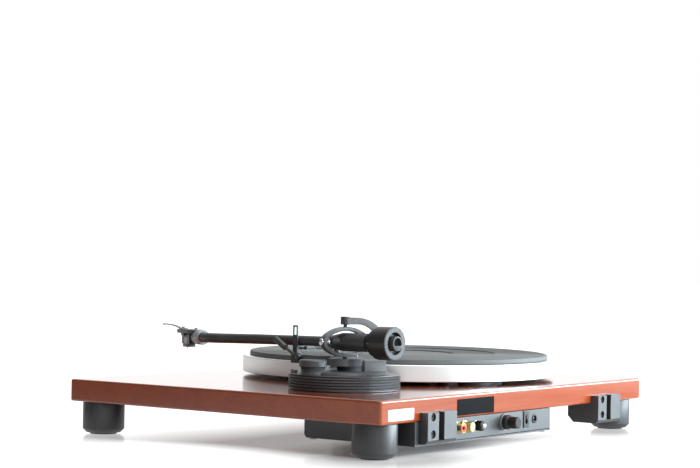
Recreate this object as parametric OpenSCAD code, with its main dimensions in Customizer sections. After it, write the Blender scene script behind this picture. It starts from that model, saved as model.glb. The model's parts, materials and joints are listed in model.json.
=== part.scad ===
// Manual belt-drive turntable with an S-shaped tonearm.
// Millimetres. +X is to the right of the front edge, +Y is to the rear, +Z is up.
// The origin lies on the floor, under the middle of the whole outline.

/* [Plinth] */
// Width of the plinth board
plinth_w = 447; // [435:1:480]
// Depth of the plinth board
plinth_d = 347; // [342:1:380]
// Thickness of the plinth board
plinth_t = 20; // [17:0.5:28]
// Radius of the board's upright corners
plinth_corner_r = 3; // [1:0.5:14]
// Radius of the board's long edges
plinth_edge_r = 2; // [0.5:0.5:4]

/* [Feet] */
// Height of the board's underside above the floor
foot_h = 29.5; // [28:0.5:45]
// Radius of a foot
foot_r = 19; // [17:0.5:21]
// Distance of a foot's centre from the left or right edge of the board
foot_inset_x = 22.5; // [20:0.5:28]
// Distance of a foot's centre from the front or rear edge of the board
foot_inset_y = 21.5; // [20:0.5:40]
// Bevel round the lower edge of a foot
foot_bevel = 3.5; // [1:0.5:5]
// Radius of the rubber pad under a foot
pad_r = 12; // [8:0.5:13]
// How far the pad stands out of the foot
pad_out = 1.2; // [0.5:0.1:2.5]
// Depth of the recess that holds the pad
pad_recess = 1.8; // [1:0.1:3]
// Radius of the shank of a foot screw
foot_screw_r = 2.5; // [1.5:0.1:3.5]
// Length of a foot screw inside the board
foot_screw_bite = 13; // [8:0.5:15]

/* [Platter] */
// Distance of the spindle to the left of the board's middle
platter_left = 57.5; // [54:0.5:64]
// Distance of the spindle in front of the board's middle
platter_front = 4.8; // [0:0.2:14]
// Radius of the platter
platter_r = 151.8; // [145:0.2:153]
// Height of the platter's rim
platter_h = 15.5; // [14:0.5:20]
// Gap between the board and the platter's rim
platter_gap = 3.5; // [3:0.25:6]
// Thickness of the platter's top plate
platter_plate_t = 4; // [3:0.25:5]
// Inner radius of the heavy outer rim
rim_in_r = 134; // [130:0.5:138]
// Radius of the inner rim that carries the belt
belt_rim_r = 92; // [88:0.5:95]
// Wall of the inner rim
belt_rim_t = 6; // [3:0.5:8]
// Inner radius of the stiffening ring
rib_r = 46; // [42:0.5:52]
// Wall of the stiffening ring
rib_t = 3; // [2:0.5:5]
// Radius of the platter's hub
hub_r = 18; // [14:0.5:24]
// Radius of the rubber mat
mat_r = 145; // [140:0.5:147]
// Thickness of the rubber mat
mat_t = 4.75; // [3:0.25:7]
// Width of a groove in the mat
mat_groove_w = 1.6; // [0.8:0.2:3]
// Depth of a groove in the mat
mat_groove_d = 0.8; // [0.4:0.1:1.5]
// Radius of the mat's first step down
mat_step_r = 94; // [80:0.5:110]
// Radius of the mat's middle, a second step down
mat_label_r = 53.2; // [50:0.2:60]
// Height of a step in the mat
mat_step = 0.8; // [0.4:0.1:1]

/* [Bearing] */
// Radius of the turning shaft
shaft_r = 5; // [4:0.25:6]
// Radius of the centre pin that takes a record
pin_r = 3.57; // [3.5:0.01:3.62]
// Height of the centre pin above the mat
pin_rise = 12.5; // [9:0.5:16]
// Radius of the bearing barrel
barrel_r = 11; // [9:0.5:13]
// Radius of the bearing flange
flange_r = 26; // [22:0.5:32]
// Thickness of the bearing flange
flange_t = 3; // [2:0.25:4]
// Height of the bearing collar above its flange
collar_h = 5.5; // [3:0.25:6]
// How far the barrel reaches below the board
barrel_drop = 9; // [5:0.5:18]
// Thickness of the floor of the bearing well
well_floor = 3; // [2:0.25:5]
// Radius of the thrust ball
ball_r = 3; // [2:0.25:4]

/* [Drive] */
// Distance from the spindle to the motor shaft
motor_reach = 115; // [112:0.5:118]
// Direction of the motor from the spindle, from +X towards the rear
motor_angle = 70; // [60:1:80]
// Radius of the motor can
motor_r = 18; // [15:0.5:20]
// Height of the motor can
motor_h = 27; // [20:0.5:32]
// Thickness of the motor plate
motor_plate_t = 2; // [1.5:0.25:2.5]
// Distance of a motor screw from the motor shaft
motor_ear = 28; // [27:0.5:32]
// Radius of the pulley under the belt
pulley_r = 7; // [5:0.25:9]
// Radius of the motor shaft
motor_shaft_r = 1.2; // [1:0.1:1.5]
// Width of the belt
belt_w = 5; // [3:0.25:6]
// Thickness of the belt
belt_t = 0.8; // [0.5:0.1:1.5]

/* [Electronics tray] */
// Distance of the tray's right wall from the right edge of the board
tray_inset = 49.5; // [46:0.5:52]
// Width of the tray
tray_w = 220; // [212:1:240]
// Depth of the tray
tray_d = 115; // [105:1:130]
// Height of the tray with its bottom cover
tray_h = 20.3; // [19:0.1:24]
// Thickness of the tray walls
tray_wall = 2.2; // [1.5:0.1:3]
// Thickness of the bottom cover
cover_t = 1.6; // [1:0.1:2.5]
// Radius of the rounded lower front edge
tray_edge_r = 4; // [2:0.5:6]
// Radius of a tray screw
tray_screw_r = 1.6; // [1.2:0.1:2]
// Length of a tray screw inside the board
tray_screw_bite = 10; // [6:0.5:14]
// Thickness of the circuit board
board_t = 1.6; // [1:0.1:2]
// Depth of the circuit board
board_d = 36; // [28:1:42]
// Gap between the circuit board and the cover
board_lift = 1.5; // [1:0.1:2]

/* [Rear panel] */
// Height of the jacks' axes above the floor
jack_z = 21.5; // [20.5:0.25:22]
// Distance of the right-hand signal jack from the tray's right wall
jack_x = 59.7; // [59:0.1:62]
// Spacing of the two signal jacks
jack_pitch = 14; // [13:0.25:17]
// Outer radius of a signal jack
jack_r = 4.15; // [4.1:0.01:4.2]
// Length of a signal jack behind the panel face
jack_out = 9.5; // [8:0.25:11]
// Distance of the ground terminal from the tray's right wall
ground_x = 90.5; // [88:0.5:94]
// Radius of the ground terminal's nut
ground_nut_r = 4.4; // [3.5:0.1:5.5]
// Length of the ground terminal behind the panel face
ground_out = 11; // [9:0.25:13]
// Distance of the selector knob from the tray's right wall
selector_x = 139.5; // [124:0.5:146]
// Radius of the selector knob
selector_r = 6.4; // [5:0.1:7.5]
// How far the selector knob reaches behind the panel face
selector_out = 15; // [13.5:0.25:18]
// Distance of the power switch from the tray's left wall
switch_x = 43; // [41:0.5:52]
// Width of the power switch's frame
switch_w = 9; // [7:0.25:11]
// Height of the power switch's frame
switch_h = 15; // [12:0.25:15]
// Width of the switch's sliding button
button_w = 3.2; // [2:0.1:4]
// Height of the switch's sliding button
button_h = 3.4; // [2.5:0.1:4]
// Travel of the switch's sliding button
button_travel = 3.8; // [2:0.1:4]
// Distance of the power inlet from the tray's left wall
inlet_x = 28; // [24:0.5:30]
// Outer radius of the power inlet
inlet_r = 4.2; // [3.8:0.1:5]
// Radius of the power inlet's opening
inlet_bore_r = 2.75; // [2.5:0.05:3]

/* [Dust cover sockets] */
// Distance of a socket's middle from the left or right edge of the board
socket_x = 78.5; // [76:0.5:80]
// Width of a socket
socket_w = 44; // [42:0.5:45]
// How far a socket stands behind the board
socket_out = 8; // [7:0.25:11]
// Height of a socket above the board's underside
socket_up = 7.5; // [6:0.25:12]
// Width of the slot that takes the cover's hinge
slot_w = 8.3; // [6:0.1:10]
// Depth of the slot
slot_d = 6; // [4.5:0.1:6.2]
// Thickness of the slot's floor
slot_floor = 3; // [2:0.25:5]
// Width of the block that holds the screws
screw_block_w = 16.5; // [14:0.25:19]
// Length of the leg under the board
leg_d = 25; // [18:0.5:32]

/* [Speed control] */
// Distance of the speed knob from the left edge of the board
speed_left = 58.5; // [54:0.5:64]
// Distance of the speed knob from the front edge of the board
speed_front = 23.5; // [20:0.5:28]
// Radius of the speed knob
speed_r = 14; // [10:0.5:16]
// Height of the speed knob
speed_h = 11; // [9:0.5:16]
// Half the width of the speed switch's case under the board
speed_box = 8; // [6:0.5:10]

/* [Tonearm base] */
// Distance of the arm pivot to the right of the spindle
pivot_right = 191.5; // [190:0.5:202]
// Distance of the arm pivot behind the spindle
pivot_back = 75.8; // [72:0.2:84]
// Height of the arm tube's axis above the board
arm_rise = 40.9; // [40:0.1:48]
// Radius of the ribbed height ring
ring_r = 49; // [46:0.5:50]
// Height of the ribbed height ring
ring_h = 13.2; // [12:0.1:15]
// Number of grooves round the height ring
ring_grooves = 5; // [4:1:10]
// Outer radius of the fixed sleeve inside the height ring
sleeve_r = 33; // [31:0.5:36]
// Radius of the sliding stem of the arm base
stem_r = 26; // [22:0.5:28]
// Radius of the arm base's deck
deck_r = 38; // [37:0.5:40]
// Thickness of the arm base's deck
deck_t = 2.2; // [2:0.1:3.5]
// Radius of the plate on top of the pivot column
column_r = 15.7; // [12:0.25:18]
// Radius of the column below that plate
neck_r = 11.2; // [9:0.1:12]
// How far the column stands behind the pivot
neck_out = 4.2; // [0:0.1:5]

/* [Gimbal] */
// Half of the width of the gimbal hoop
hoop_a = 22.5; // [22:0.25:25]
// Half of the height of the gimbal hoop
hoop_b = 13.3; // [12.5:0.1:14]
// Radius of the hoop's rounded ends
hoop_end_r = 9; // [8:0.25:10]
// Wall of the gimbal hoop
hoop_t = 3.4; // [2.5:0.1:4]
// Depth of the gimbal hoop
hoop_depth = 8; // [6:0.25:10]
// Turn of the tilt axis away from square to the arm
tilt_offset = 22; // [16:0.5:26]
// Radius of the tilt pins
tilt_pin_r = 2; // [1.5:0.1:2.5]
// Radius of the turn pins
turn_pin_r = 1.6; // [1.2:0.1:2.2]
// Direction of the arch from the arm pivot
arch_angle = 135; // [128:1:142]
// Turn of the column's place behind the pivot
neck_angle = 126; // [110:1:142]
// Thickness of the arch
arch_t = 6; // [5:0.25:7]
// Width of the arch
arch_w = 8; // [7:0.25:8]
// Outer radius of the arch's bend
arch_bend_r = 25; // [18:0.5:28]
// Clearance between the hoop's end and the arch
arch_clear = 7; // [5:0.25:8]

/* [Tonearm] */
// Turn of the resting arm towards the spindle
rest_angle = 4.5; // [0:0.5:8]
// Downward slope of the arm tube towards the head
arm_droop = 0.9; // [0:0.1:1.5]
// Radius of the arm tube
tube_r = 4.5; // [3.5:0.1:5]
// Length of the straight tube from the pivot to the first bend
tube_run = 97; // [80:1:105]
// Angle of the first bend, outward
bend_out = 12; // [6:0.5:16]
// Radius of the first bend
bend_out_r = 60; // [40:1:80]
// Length of the slanted run between the bends
tube_slant = 34; // [24:0.5:40]
// Angle of the head against the straight tube, inward
head_angle = 26; // [20:0.5:28]
// Radius of the second bend
bend_in_r = 42; // [30:1:55]
// Radius of the pivot housing
housing_r = 8; // [6.5:0.1:8.3]
// Reach of the pivot housing in front of the pivot
housing_front = 15; // [12:0.5:18]
// Reach of the pivot housing behind the pivot
housing_back = 28; // [22:0.5:30]
// Depth of the holes in the housing's two ends
housing_hole = 8; // [7:0.25:9]

/* [Counterweight] */
// Radius of the rear stub
stub_r = 6.4; // [5.5:0.1:7]
// Radius of the pin that holds the stub in the housing
stub_pin_r = 4; // [3:0.1:5]
// Radius of the opening in the end of the stub
stub_bore_r = 4.9; // [3.5:0.1:5]
// How far the stub reaches behind the weight
stub_out = 3; // [1:0.25:6]
// Wall of the sliding sleeve
sleeve_wall = 2.1; // [1.5:0.1:3]
// Radius of the counterweight
weight_r = 14.4; // [12.5:0.1:14.8]
// Length of the counterweight
weight_l = 17.7; // [14:0.1:22]
// Distance of the counterweight's front face behind the pivot
weight_at = 38.8; // [38:0.1:42]
// Radius of the recess in the rear of the weight
weight_recess_r = 9.5; // [9:0.1:11]
// Depth of the recess in the rear of the weight
weight_recess = 4; // [2:0.25:6]
// Radius of the force dial
dial_r = 12; // [11:0.25:13]
// Length of the force dial
dial_l = 4.6; // [3:0.1:5]

/* [Head] */
// Radius of the locking collar
lock_r = 7; // [6:0.1:8]
// Length of the locking collar
lock_l = 12; // [10:0.25:15]
// Length of the headshell in front of the collar
shell_l = 45; // [40:0.5:52]
// Width of the headshell
shell_w = 17; // [16.8:0.1:20]
// Thickness of the headshell
shell_t = 3.5; // [2:0.1:4]
// Height of the headshell's underside above the tube's axis
shell_rise = 3; // [2:0.1:3.5]
// Spacing of the cartridge screws
cart_pitch = 12.7; // [12.5:0.1:13]
// Width of the cartridge body
cart_w = 12; // [10:0.25:14]
// Length of the cartridge body
cart_l = 22; // [18:0.5:26]
// Height of the cartridge body
cart_h = 10; // [8:0.1:10.5]
// Height of the stylus holder under the cartridge
stylus_h = 3.2; // [2:0.1:3.5]
// How far the stylus tip reaches below its holder
stylus_drop = 1.6; // [1:0.1:1.9]
// Distance of the cartridge screws from the head's front end
cart_back = 19; // [17:0.5:21]
// Thickness of the finger lift
lift_t = 1.2; // [0.8:0.1:1.6]
// Radius of the finger lift's curve
lift_r = 30; // [26:1:60]
// Slope of the finger lift at its root
lift_tilt = 32; // [15:1:36]
// Slope of the finger lift at its tip, downwards
lift_end = 4; // [0:1:10]

/* [Arm fittings] */
// Distance of the arm rest from the pivot
rest_at = 52; // [50:0.25:56]
// Height of the arm rest's post above the arm tube's axis
rest_up = 13; // [9:0.5:18]
// Distance of the cue lever's axle from the pivot
cue_at = 45; // [43:0.25:46]
// Length of the cue lever
cue_l = 30.5; // [24:0.5:36]
// Angle of the raised cue lever
cue_up = 29; // [26:1:45]
// Length of the cue lever's grip
cue_grip = 15; // [10:0.5:18]
// Distance of the lift bar from the pivot
bar_at = 46; // [45:0.25:47]
// Radius of the lift plunger
plunger_r = 3; // [2:0.1:3.5]
// Radius of the anti-skate dial
skate_r = 12; // [10:0.2:12.2]
// Height of the anti-skate dial
skate_h = 6.2; // [5:0.2:8]

/* [Clearances] */
// Gap of a running fit, on the radius
run_gap = 0.05; // [0.03:0.01:0.08]
// Gap between pieces that pass each other
pass_gap = 0.3; // [0.25:0.05:0.5]
// Gap of a fixed fit, on the radius
fix_gap = 0.05; // [0.03:0.01:0.1]

/* [Hidden] */
$fn = 96;

rear = plinth_d / 2;
reach_back = max(selector_out, socket_out, jack_out, ground_out);
frame_y = -reach_back / 2;
z_under = foot_h;
z_top = foot_h + plinth_t;
foot_x = plinth_w / 2 - foot_inset_x;
foot_y = rear - foot_inset_y;
pad_t = pad_out + pad_recess;
foot_head_r = 2 * foot_screw_r;
foot_head_h = foot_screw_r;
corner_r = max(plinth_corner_r, plinth_edge_r + 0.5);
screw_bite = 0.6 * plinth_t;
screw_spare = 0.025 * plinth_t;
socket_bite = 0.75 * plinth_t;

z_rim = z_top + platter_gap;
z_plate = z_rim + platter_h;
z_mat = z_plate + mat_t;
z_ceiling = z_plate - platter_plate_t;
z_collar = z_top + flange_t + collar_h;
z_hub = z_collar + pass_gap;
z_well = z_under - barrel_drop + well_floor;
z_shaft = z_well + 2 * ball_r + 2 * fix_gap;
bearing_screw_r = 1.8;
bearing_screw_at = (barrel_r + flange_r) / 2 + 1;

belt_z = (z_rim + z_ceiling) / 2;
pulley_h = belt_w + 2;
belt_in = belt_rim_r + pass_gap;
belt_turn = pulley_r + pass_gap;
motor_x = motor_reach * cos(motor_angle);
motor_y = motor_reach * sin(motor_angle);
motor_screw_r = 1.5;
motor_head_r = 3.4;
rim_clear = 1;
pulley_edge = pulley_r + 1.2;
rim_in = max(rim_in_r, motor_reach + pulley_edge + rim_clear,
    sqrt(pow(motor_reach, 2) + pow(motor_ear, 2)) + motor_head_r + rim_clear);
grommet_r = 5;
grommet_t = motor_plate_t + 0.6;

tray_right = plinth_w / 2 - tray_inset;
tray_left = tray_right - tray_w;
tray_front = rear - tray_d;
z_tray = z_under - tray_h;
z_cover = z_tray + cover_t;
z_board = z_cover + board_lift;
z_parts = z_board + board_t;
post_r = tray_screw_r + 2.4;
post_in = tray_wall + post_r - 0.6;
post_at = [[tray_left + post_in, tray_front + post_in], [tray_right - post_in, tray_front + post_in],
    [tray_left + post_in, rear - post_in], [tray_right - post_in, rear - leg_d - tray_wall - 2 * post_r]];
socket_mid = plinth_w / 2 - socket_x;
notch_l = socket_mid - socket_w / 2 - pass_gap;
notch_r = socket_mid + socket_w / 2 + pass_gap;
board_left = tray_left + 2 * post_in;
board_right = notch_l - tray_wall - pass_gap;
board_rear = rear - tray_wall - pass_gap;
panel_in = rear - tray_wall;
jack_mid = tray_right - jack_x;
ground_mid = tray_right - ground_x;
selector_mid = tray_right - selector_x;
switch_mid = tray_left + switch_x;
inlet_mid = tray_left + inlet_x;

socket_hole_r = 1.7;
socket_head_r = 3.2;
socket_head_h = 2;

speed_stem_r = 3;

z_ring = z_top + pass_gap;
z_ring_top = z_ring + ring_h;
z_deck = z_ring_top + pass_gap;
z_deck_top = z_deck + deck_t;
z_arm = z_top + arm_rise;
mount_t = 3;
mount_r = sleeve_r + 4;
sleeve_h = ring_h - 3.5;
mount_screw_r = 1.5;
column_top = z_arm - hoop_b - 0.9;
skate_at = 37;
skate_angle = -11;
skate_x = skate_at * cos(skate_angle);
skate_y = skate_at * sin(skate_angle);
z_skate = z_deck_top + 4.2;

arch_in = hoop_a + arch_clear;
arch_out = arch_in + arch_t;
arch_top = hoop_b + 2.2 + arch_t;
cap_r = arch_w / 2 + 0.2;
root_h = 9.5;
tilt_head = 1.4;
boss_end = housing_r + 5.5;
oval_c = hoop_a - hoop_end_r;
washer_r = tilt_pin_r + 1.2;
washer_t = 1.8;
washer_end = oval_c + sqrt(pow(hoop_end_r - hoop_t, 2) - pow(washer_r, 2)) - pass_gap;

straight_r = tube_r - 0.05;
shelf_top = -rest_at * tan(arm_droop) - tube_r / cos(arm_droop) - pass_gap;
bar_top = z_arm - (bar_at + 1.5) * tan(arm_droop) - tube_r / cos(arm_droop) - pass_gap;
lobe_t = 7.8;
lobe_z = z_deck_top + 4.5;
lobe_top = lobe_z + lobe_t;
neck_shift = min(neck_out, column_r - neck_r);
lobe_in = 3;
lobe_out = 9;
cue_z = lobe_top - 2;
axle_r = 1.5;
cue_hub = 4.8;
cue_side = 3.3;
plunger_angle = -135;
guide_r = plunger_r + 3.4;
guide_top = bar_top - 9;

sleeve_front = weight_at - dial_l - 2 * pass_gap;
sleeve_back = weight_at + weight_l - weight_recess - pass_gap;
sleeve_out = stub_r + run_gap + sleeve_wall;
stub_end = weight_at + weight_l + stub_out;

cart_top = shell_rise;
shell_top = shell_rise + shell_t;
cart_flange_t = 2.2;
cart_at = lock_l + shell_l - cart_back;
screw_r = 1.2;

echo(str("Whole depth ", plinth_d + reach_back, ", mat top ", z_mat, ", arm axis ", z_arm));

// Frames

module framed() {
    translate([0, frame_y, 0]) children();
}

module at_spindle() {
    framed() translate([-platter_left, -platter_front, 0]) children();
}

module at_motor() {
    at_spindle() translate([motor_x, motor_y, 0]) rotate([0, 0, motor_angle]) children();
}

module at_pivot() {
    at_spindle() translate([pivot_right, pivot_back, 0]) children();
}

module at_speed() {
    framed() translate([speed_left - plinth_w / 2, speed_front - rear, 0]) children();
}

module base_frame() {
    at_pivot() rotate([0, 0, -rest_angle]) children();
}

module yaw_frame() {
    base_frame() translate([0, 0, z_arm]) children();
}

module hoop_frame() {
    yaw_frame() rotate([0, 0, -tilt_offset]) children();
}

module arm_frame() {
    yaw_frame() rotate([arm_droop, 0, 0]) children();
}

module after_bend(radius, angle, side) {
    translate([side * radius * (1 - cos(angle)), -radius * sin(angle), 0])
        rotate([0, 0, side * angle]) children();
}

module head_frame() {
    arm_frame() translate([0, -tube_run, 0])
        after_bend(bend_out_r, bend_out, 1) translate([0, -tube_slant, 0])
        after_bend(bend_in_r, bend_out + head_angle, -1) children();
}

// Shapes used more than once

module tube(outer, inner, z0, z1) {
    translate([0, 0, z0]) difference() {
        cylinder(r = outer, h = z1 - z0);
        translate([0, 0, -1]) cylinder(r = inner, h = z1 - z0 + 2);
    }
}

module disc(radius, z0, z1) {
    translate([0, 0, z0]) cylinder(r = radius, h = z1 - z0);
}

// A rod along Y, from y0 to y1
module rod(radius, y0, y1) {
    translate([0, y0, 0]) rotate([-90, 0, 0]) cylinder(r = radius, h = y1 - y0);
}

// A ring along Y, from y0 to y1
module rod_ring(outer, inner, y0, y1) {
    difference() {
        rod(outer, y0, y1);
        rod(inner, y0 - 1, y1 + 1);
    }
}

module block(x0, x1, y0, y1, z0, z1) {
    translate([x0, y0, z0]) cube([x1 - x0, y1 - y0, z1 - z0]);
}

module soft_rect(w, h, r) {
    translate([-w / 2 + r, -h / 2]) square([w - 2 * r, h]);
    translate([-w / 2, -h / 2 + r]) square([w, h - 2 * r]);
    for (sx = [-1, 1], sy = [-1, 1])
        translate([sx * (w / 2 - r), sy * (h / 2 - r)]) circle(r);
}

// A plate with upright corners of radius rc and edges of radius re, standing on z = 0
module soft_plate(w, d, t, rc, re) {
    translate([0, 0, t / 2]) {
        translate([-w / 2 + rc, 0, 0]) rotate([90, 0, 90]) linear_extrude(w - 2 * rc) soft_rect(d, t, re);
        translate([0, d / 2 - rc, 0]) rotate([90, 0, 0]) linear_extrude(d - 2 * rc) soft_rect(w, t, re);
        for (sx = [-1, 1], sy = [-1, 1])
            translate([sx * (w / 2 - rc), sy * (d / 2 - rc), 0])
                rotate_extrude() intersection() {
                    soft_rect(2 * rc, t, re);
                    translate([0, -t]) square([rc + 1, 2 * t]);
                }
    }
}

// A screw pointing up from its head's seat at z = 0
module screw_up(shank, head, head_h, length) {
    translate([0, 0, -head_h]) cylinder(r = head, h = head_h);
    cylinder(r = shank, h = length);
}

// A cross recess in the top of a screw head
module cross_cut(size, depth) {
    for (a = [0, 90])
        rotate([0, 0, a]) translate([-size, -size / 5, -depth]) cube([2 * size, 2 * size / 5, depth + 1]);
}

// A screw pointing down from its head's seat at z = 0, with a cross recess
module screw_down(shank, head, head_h, length) {
    difference() {
        union() {
            cylinder(r = head, h = head_h);
            translate([0, 0, -length]) cylinder(r = shank, h = length);
        }
        translate([0, 0, head_h]) cross_cut(0.6 * head, 0.5 * head_h);
    }
}

module at_feet() {
    framed() for (sx = [-1, 1], sy = [-1, 1]) translate([sx * foot_x, sy * foot_y, 0]) children();
}

module at_bearing_screws() {
    at_spindle() for (a = [30, 150, 270]) rotate([0, 0, a]) translate([bearing_screw_at, 0, 0]) children();
}

module at_motor_screws() {
    at_motor() for (s = [-1, 1]) translate([0, s * motor_ear, 0]) children();
}

module at_mount_screws() {
    at_pivot() for (a = [90, 210, 330])
        rotate([0, 0, a]) translate([(stem_r + sleeve_r) / 2, 0, 0]) children();
}

module at_posts() {
    framed() for (p = post_at) translate([p[0], p[1], 0]) children();
}

// The two sockets' own frame: x along the rear edge, y = 0 at the board's rear face
module at_socket(side) {
    framed() translate([side * socket_mid, rear, 0]) children();
}

socket_hole_x = socket_w / 2 - screw_block_w / 2;
socket_hole_top = z_under + socket_up / 2;
socket_hole_low = z_under - 10.5;

// Plinth and feet

module plinth() {
    color("sienna") difference() {
        framed() translate([0, 0, z_under])
            soft_plate(plinth_w, plinth_d, plinth_t, corner_r, plinth_edge_r);
        at_spindle() disc(barrel_r + pass_gap, z_under - 1, z_top + 1);
        at_motor() disc(motor_r + 1.5, z_under - 1, z_top + 1);
        at_pivot() disc(10, z_under - 1, z_top + 1);
        at_speed() disc(speed_stem_r + 1.2, z_under - 1, z_top + 1);
        at_feet() disc(foot_screw_r + fix_gap, z_under - 1, z_under + foot_screw_bite + screw_spare);
        at_bearing_screws() disc(bearing_screw_r + fix_gap, z_top - screw_bite - screw_spare, z_top + 1);
        at_motor_screws() disc(motor_screw_r + fix_gap, z_top - screw_bite - screw_spare, z_top + 1);
        at_mount_screws() disc(mount_screw_r + fix_gap, z_top - screw_bite - screw_spare, z_top + 1);
        at_posts() disc(tray_screw_r + fix_gap, z_under - 1, z_under + tray_screw_bite + screw_spare);
        for (s = [-1, 1])
            at_socket(s) translate([socket_hole_x, 0, socket_hole_top])
                rod(socket_hole_r + fix_gap, -socket_bite - screw_spare, 1);
    }
}

module foot() {
    difference() {
        rotate_extrude() polygon([[0, pad_out], [foot_r - foot_bevel, pad_out], [foot_r, pad_out + foot_bevel],
            [foot_r, foot_h], [0, foot_h]]);
        disc(pad_r + fix_gap, pad_out - 1, pad_t);
        disc(foot_head_r + 0.4, pad_t - 1, pad_t + foot_head_h + 1);
        disc(foot_screw_r + fix_gap, pad_t, foot_h + 1);
    }
}

module feet() {
    color("#1c1c1e") at_feet() foot();
}

module foot_pads() {
    color("#101010") at_feet() disc(pad_r, 0, pad_t);
}

module foot_screws() {
    color("silver") at_feet() translate([0, 0, pad_t + foot_head_h + 1])
        screw_up(foot_screw_r, foot_head_r, foot_head_h, z_under + foot_screw_bite - pad_t - foot_head_h - 1);
}

// Bearing and platter

module bearing_housing() {
    color("#b8a060") difference() {
        union() {
            at_spindle() disc(barrel_r, z_under - barrel_drop, z_top + flange_t);
            at_spindle() disc(flange_r, z_top, z_top + flange_t);
            at_spindle() disc(barrel_r + 1, z_top + flange_t, z_collar);
        }
        at_spindle() disc(shaft_r + run_gap, z_well, z_collar + 1);
        at_bearing_screws() disc(bearing_screw_r + fix_gap, z_top - 1, z_top + flange_t + 1);
    }
}

module bearing_screws() {
    color("silver") at_bearing_screws() translate([0, 0, z_top + flange_t])
        screw_down(bearing_screw_r, 3.2, 1.8, flange_t + screw_bite);
}

module thrust_ball() {
    color("silver") at_spindle() translate([0, 0, z_well + ball_r + fix_gap]) sphere(r = ball_r);
}

module spindle() {
    color("silver") at_spindle() {
        disc(shaft_r, z_shaft, z_mat);
        rotate_extrude() polygon([[0, z_mat - 1], [pin_r, z_mat - 1], [pin_r, z_mat + pin_rise - 2.5],
            [pin_r - 1.2, z_mat + pin_rise - 0.4], [pin_r - 2, z_mat + pin_rise], [0, z_mat + pin_rise]]);
    }
}

module platter() {
    color("#d8d8d8") at_spindle() difference() {
        union() {
            rotate_extrude() polygon([[0, z_ceiling], [rim_in, z_ceiling], [rim_in, z_rim],
                [platter_r - 0.8, z_rim], [platter_r, z_rim + 0.8], [platter_r, z_plate - 0.8],
                [platter_r - 0.8, z_plate], [0, z_plate]]);
            tube(belt_rim_r, belt_rim_r - belt_rim_t, z_rim + 1, z_ceiling);
            tube(rib_r + rib_t, rib_r, z_rim + 3, z_ceiling);
            disc(hub_r, z_hub, z_ceiling);
        }
        disc(shaft_r + fix_gap, z_rim - 1, z_plate + 1);
    }
}

mat_rings = [for (k = [1:3]) mat_step_r + k * (mat_r - mat_step_r) / 4];

module mat() {
    color("#4a4b4a") at_spindle() difference() {
        rotate_extrude() polygon([[shaft_r + 0.4, z_plate], [mat_r - 1, z_plate], [mat_r, z_plate + 1],
            [mat_r, z_mat - 1.2], [mat_r - 1.2, z_mat], [shaft_r + 0.4, z_mat]]);
        for (r = mat_rings)
            tube(r, r - mat_groove_w, z_mat - mat_groove_d, z_mat + 1);
        disc(mat_step_r, z_mat - mat_step, z_mat + 1);
        disc(mat_label_r, z_mat - 2 * mat_step, z_mat + 1);
    }
}

// Motor, pulley and belt

module motor_body() {
    color("#8f9296") at_motor() difference() {
        disc(motor_r, z_top - motor_h, z_top);
        disc(motor_shaft_r + run_gap, z_top - 9, z_top + 1);
    }
}

module motor_plate() {
    color("#a0a4a8") difference() {
        union() {
            at_motor() disc(motor_r + 3, z_top, z_top + motor_plate_t);
            at_motor()
                block(-grommet_r - 3, grommet_r + 3, -motor_ear, motor_ear, z_top, z_top + motor_plate_t);
            at_motor_screws() disc(grommet_r + 3, z_top, z_top + motor_plate_t);
        }
        at_motor() disc(motor_shaft_r + 2.5, z_top - 1, z_top + motor_plate_t + 1);
        at_motor_screws() disc(grommet_r + fix_gap, z_top - 1, z_top + motor_plate_t + 1);
    }
}

module motor_grommets() {
    color("#202020") at_motor_screws() tube(grommet_r, motor_screw_r + fix_gap, z_top, z_top + grommet_t);
}

module motor_screws() {
    color("silver") at_motor_screws() translate([0, 0, z_top + grommet_t])
        screw_down(motor_screw_r, motor_head_r, 1.6, grommet_t + screw_bite);
}

module motor_pulley() {
    color("#c9b26a") at_motor() {
        disc(motor_shaft_r, z_top - 8, belt_z);
        disc(pulley_edge, belt_z - pulley_h / 2, belt_z - belt_w / 2 - pass_gap);
        disc(pulley_r, belt_z - pulley_h / 2, belt_z + pulley_h / 2);
        disc(pulley_edge, belt_z + belt_w / 2 + pass_gap, belt_z + pulley_h / 2);
    }
}

// Outline of a band round two discs, both of them grown by the same amount
module band_outline(grow) {
    big = belt_in + grow;
    small = belt_turn + grow;
    lead = acos((big - small) / motor_reach);
    circle(big);
    translate([motor_reach, 0]) circle(small);
    polygon([[big * cos(lead), big * sin(lead)], [big * cos(lead), -big * sin(lead)],
        [motor_reach + small * cos(lead), -small * sin(lead)],
        [motor_reach + small * cos(lead), small * sin(lead)]]);
}

module drive_belt() {
    color("#18181a") at_spindle() rotate([0, 0, motor_angle]) translate([0, 0, belt_z - belt_w / 2])
        linear_extrude(belt_w) difference() {
            band_outline(belt_t);
            band_outline(0);
        }
}

// Electronics tray and rear panel

// The tray's envelope, with its lower front edge rounded
module tray_form(grow) {
    framed() translate([tray_left + grow, 0, 0]) rotate([90, 0, 90]) linear_extrude(tray_w - 2 * grow) {
        translate([tray_front + tray_edge_r, z_tray]) square([tray_d - tray_edge_r - grow, tray_h]);
        translate([tray_front + grow, z_tray + tray_edge_r]) square([tray_d - 2 * grow, tray_h - tray_edge_r]);
        translate([tray_front + tray_edge_r, z_tray + tray_edge_r]) circle(tray_edge_r - grow);
    }
}

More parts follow.
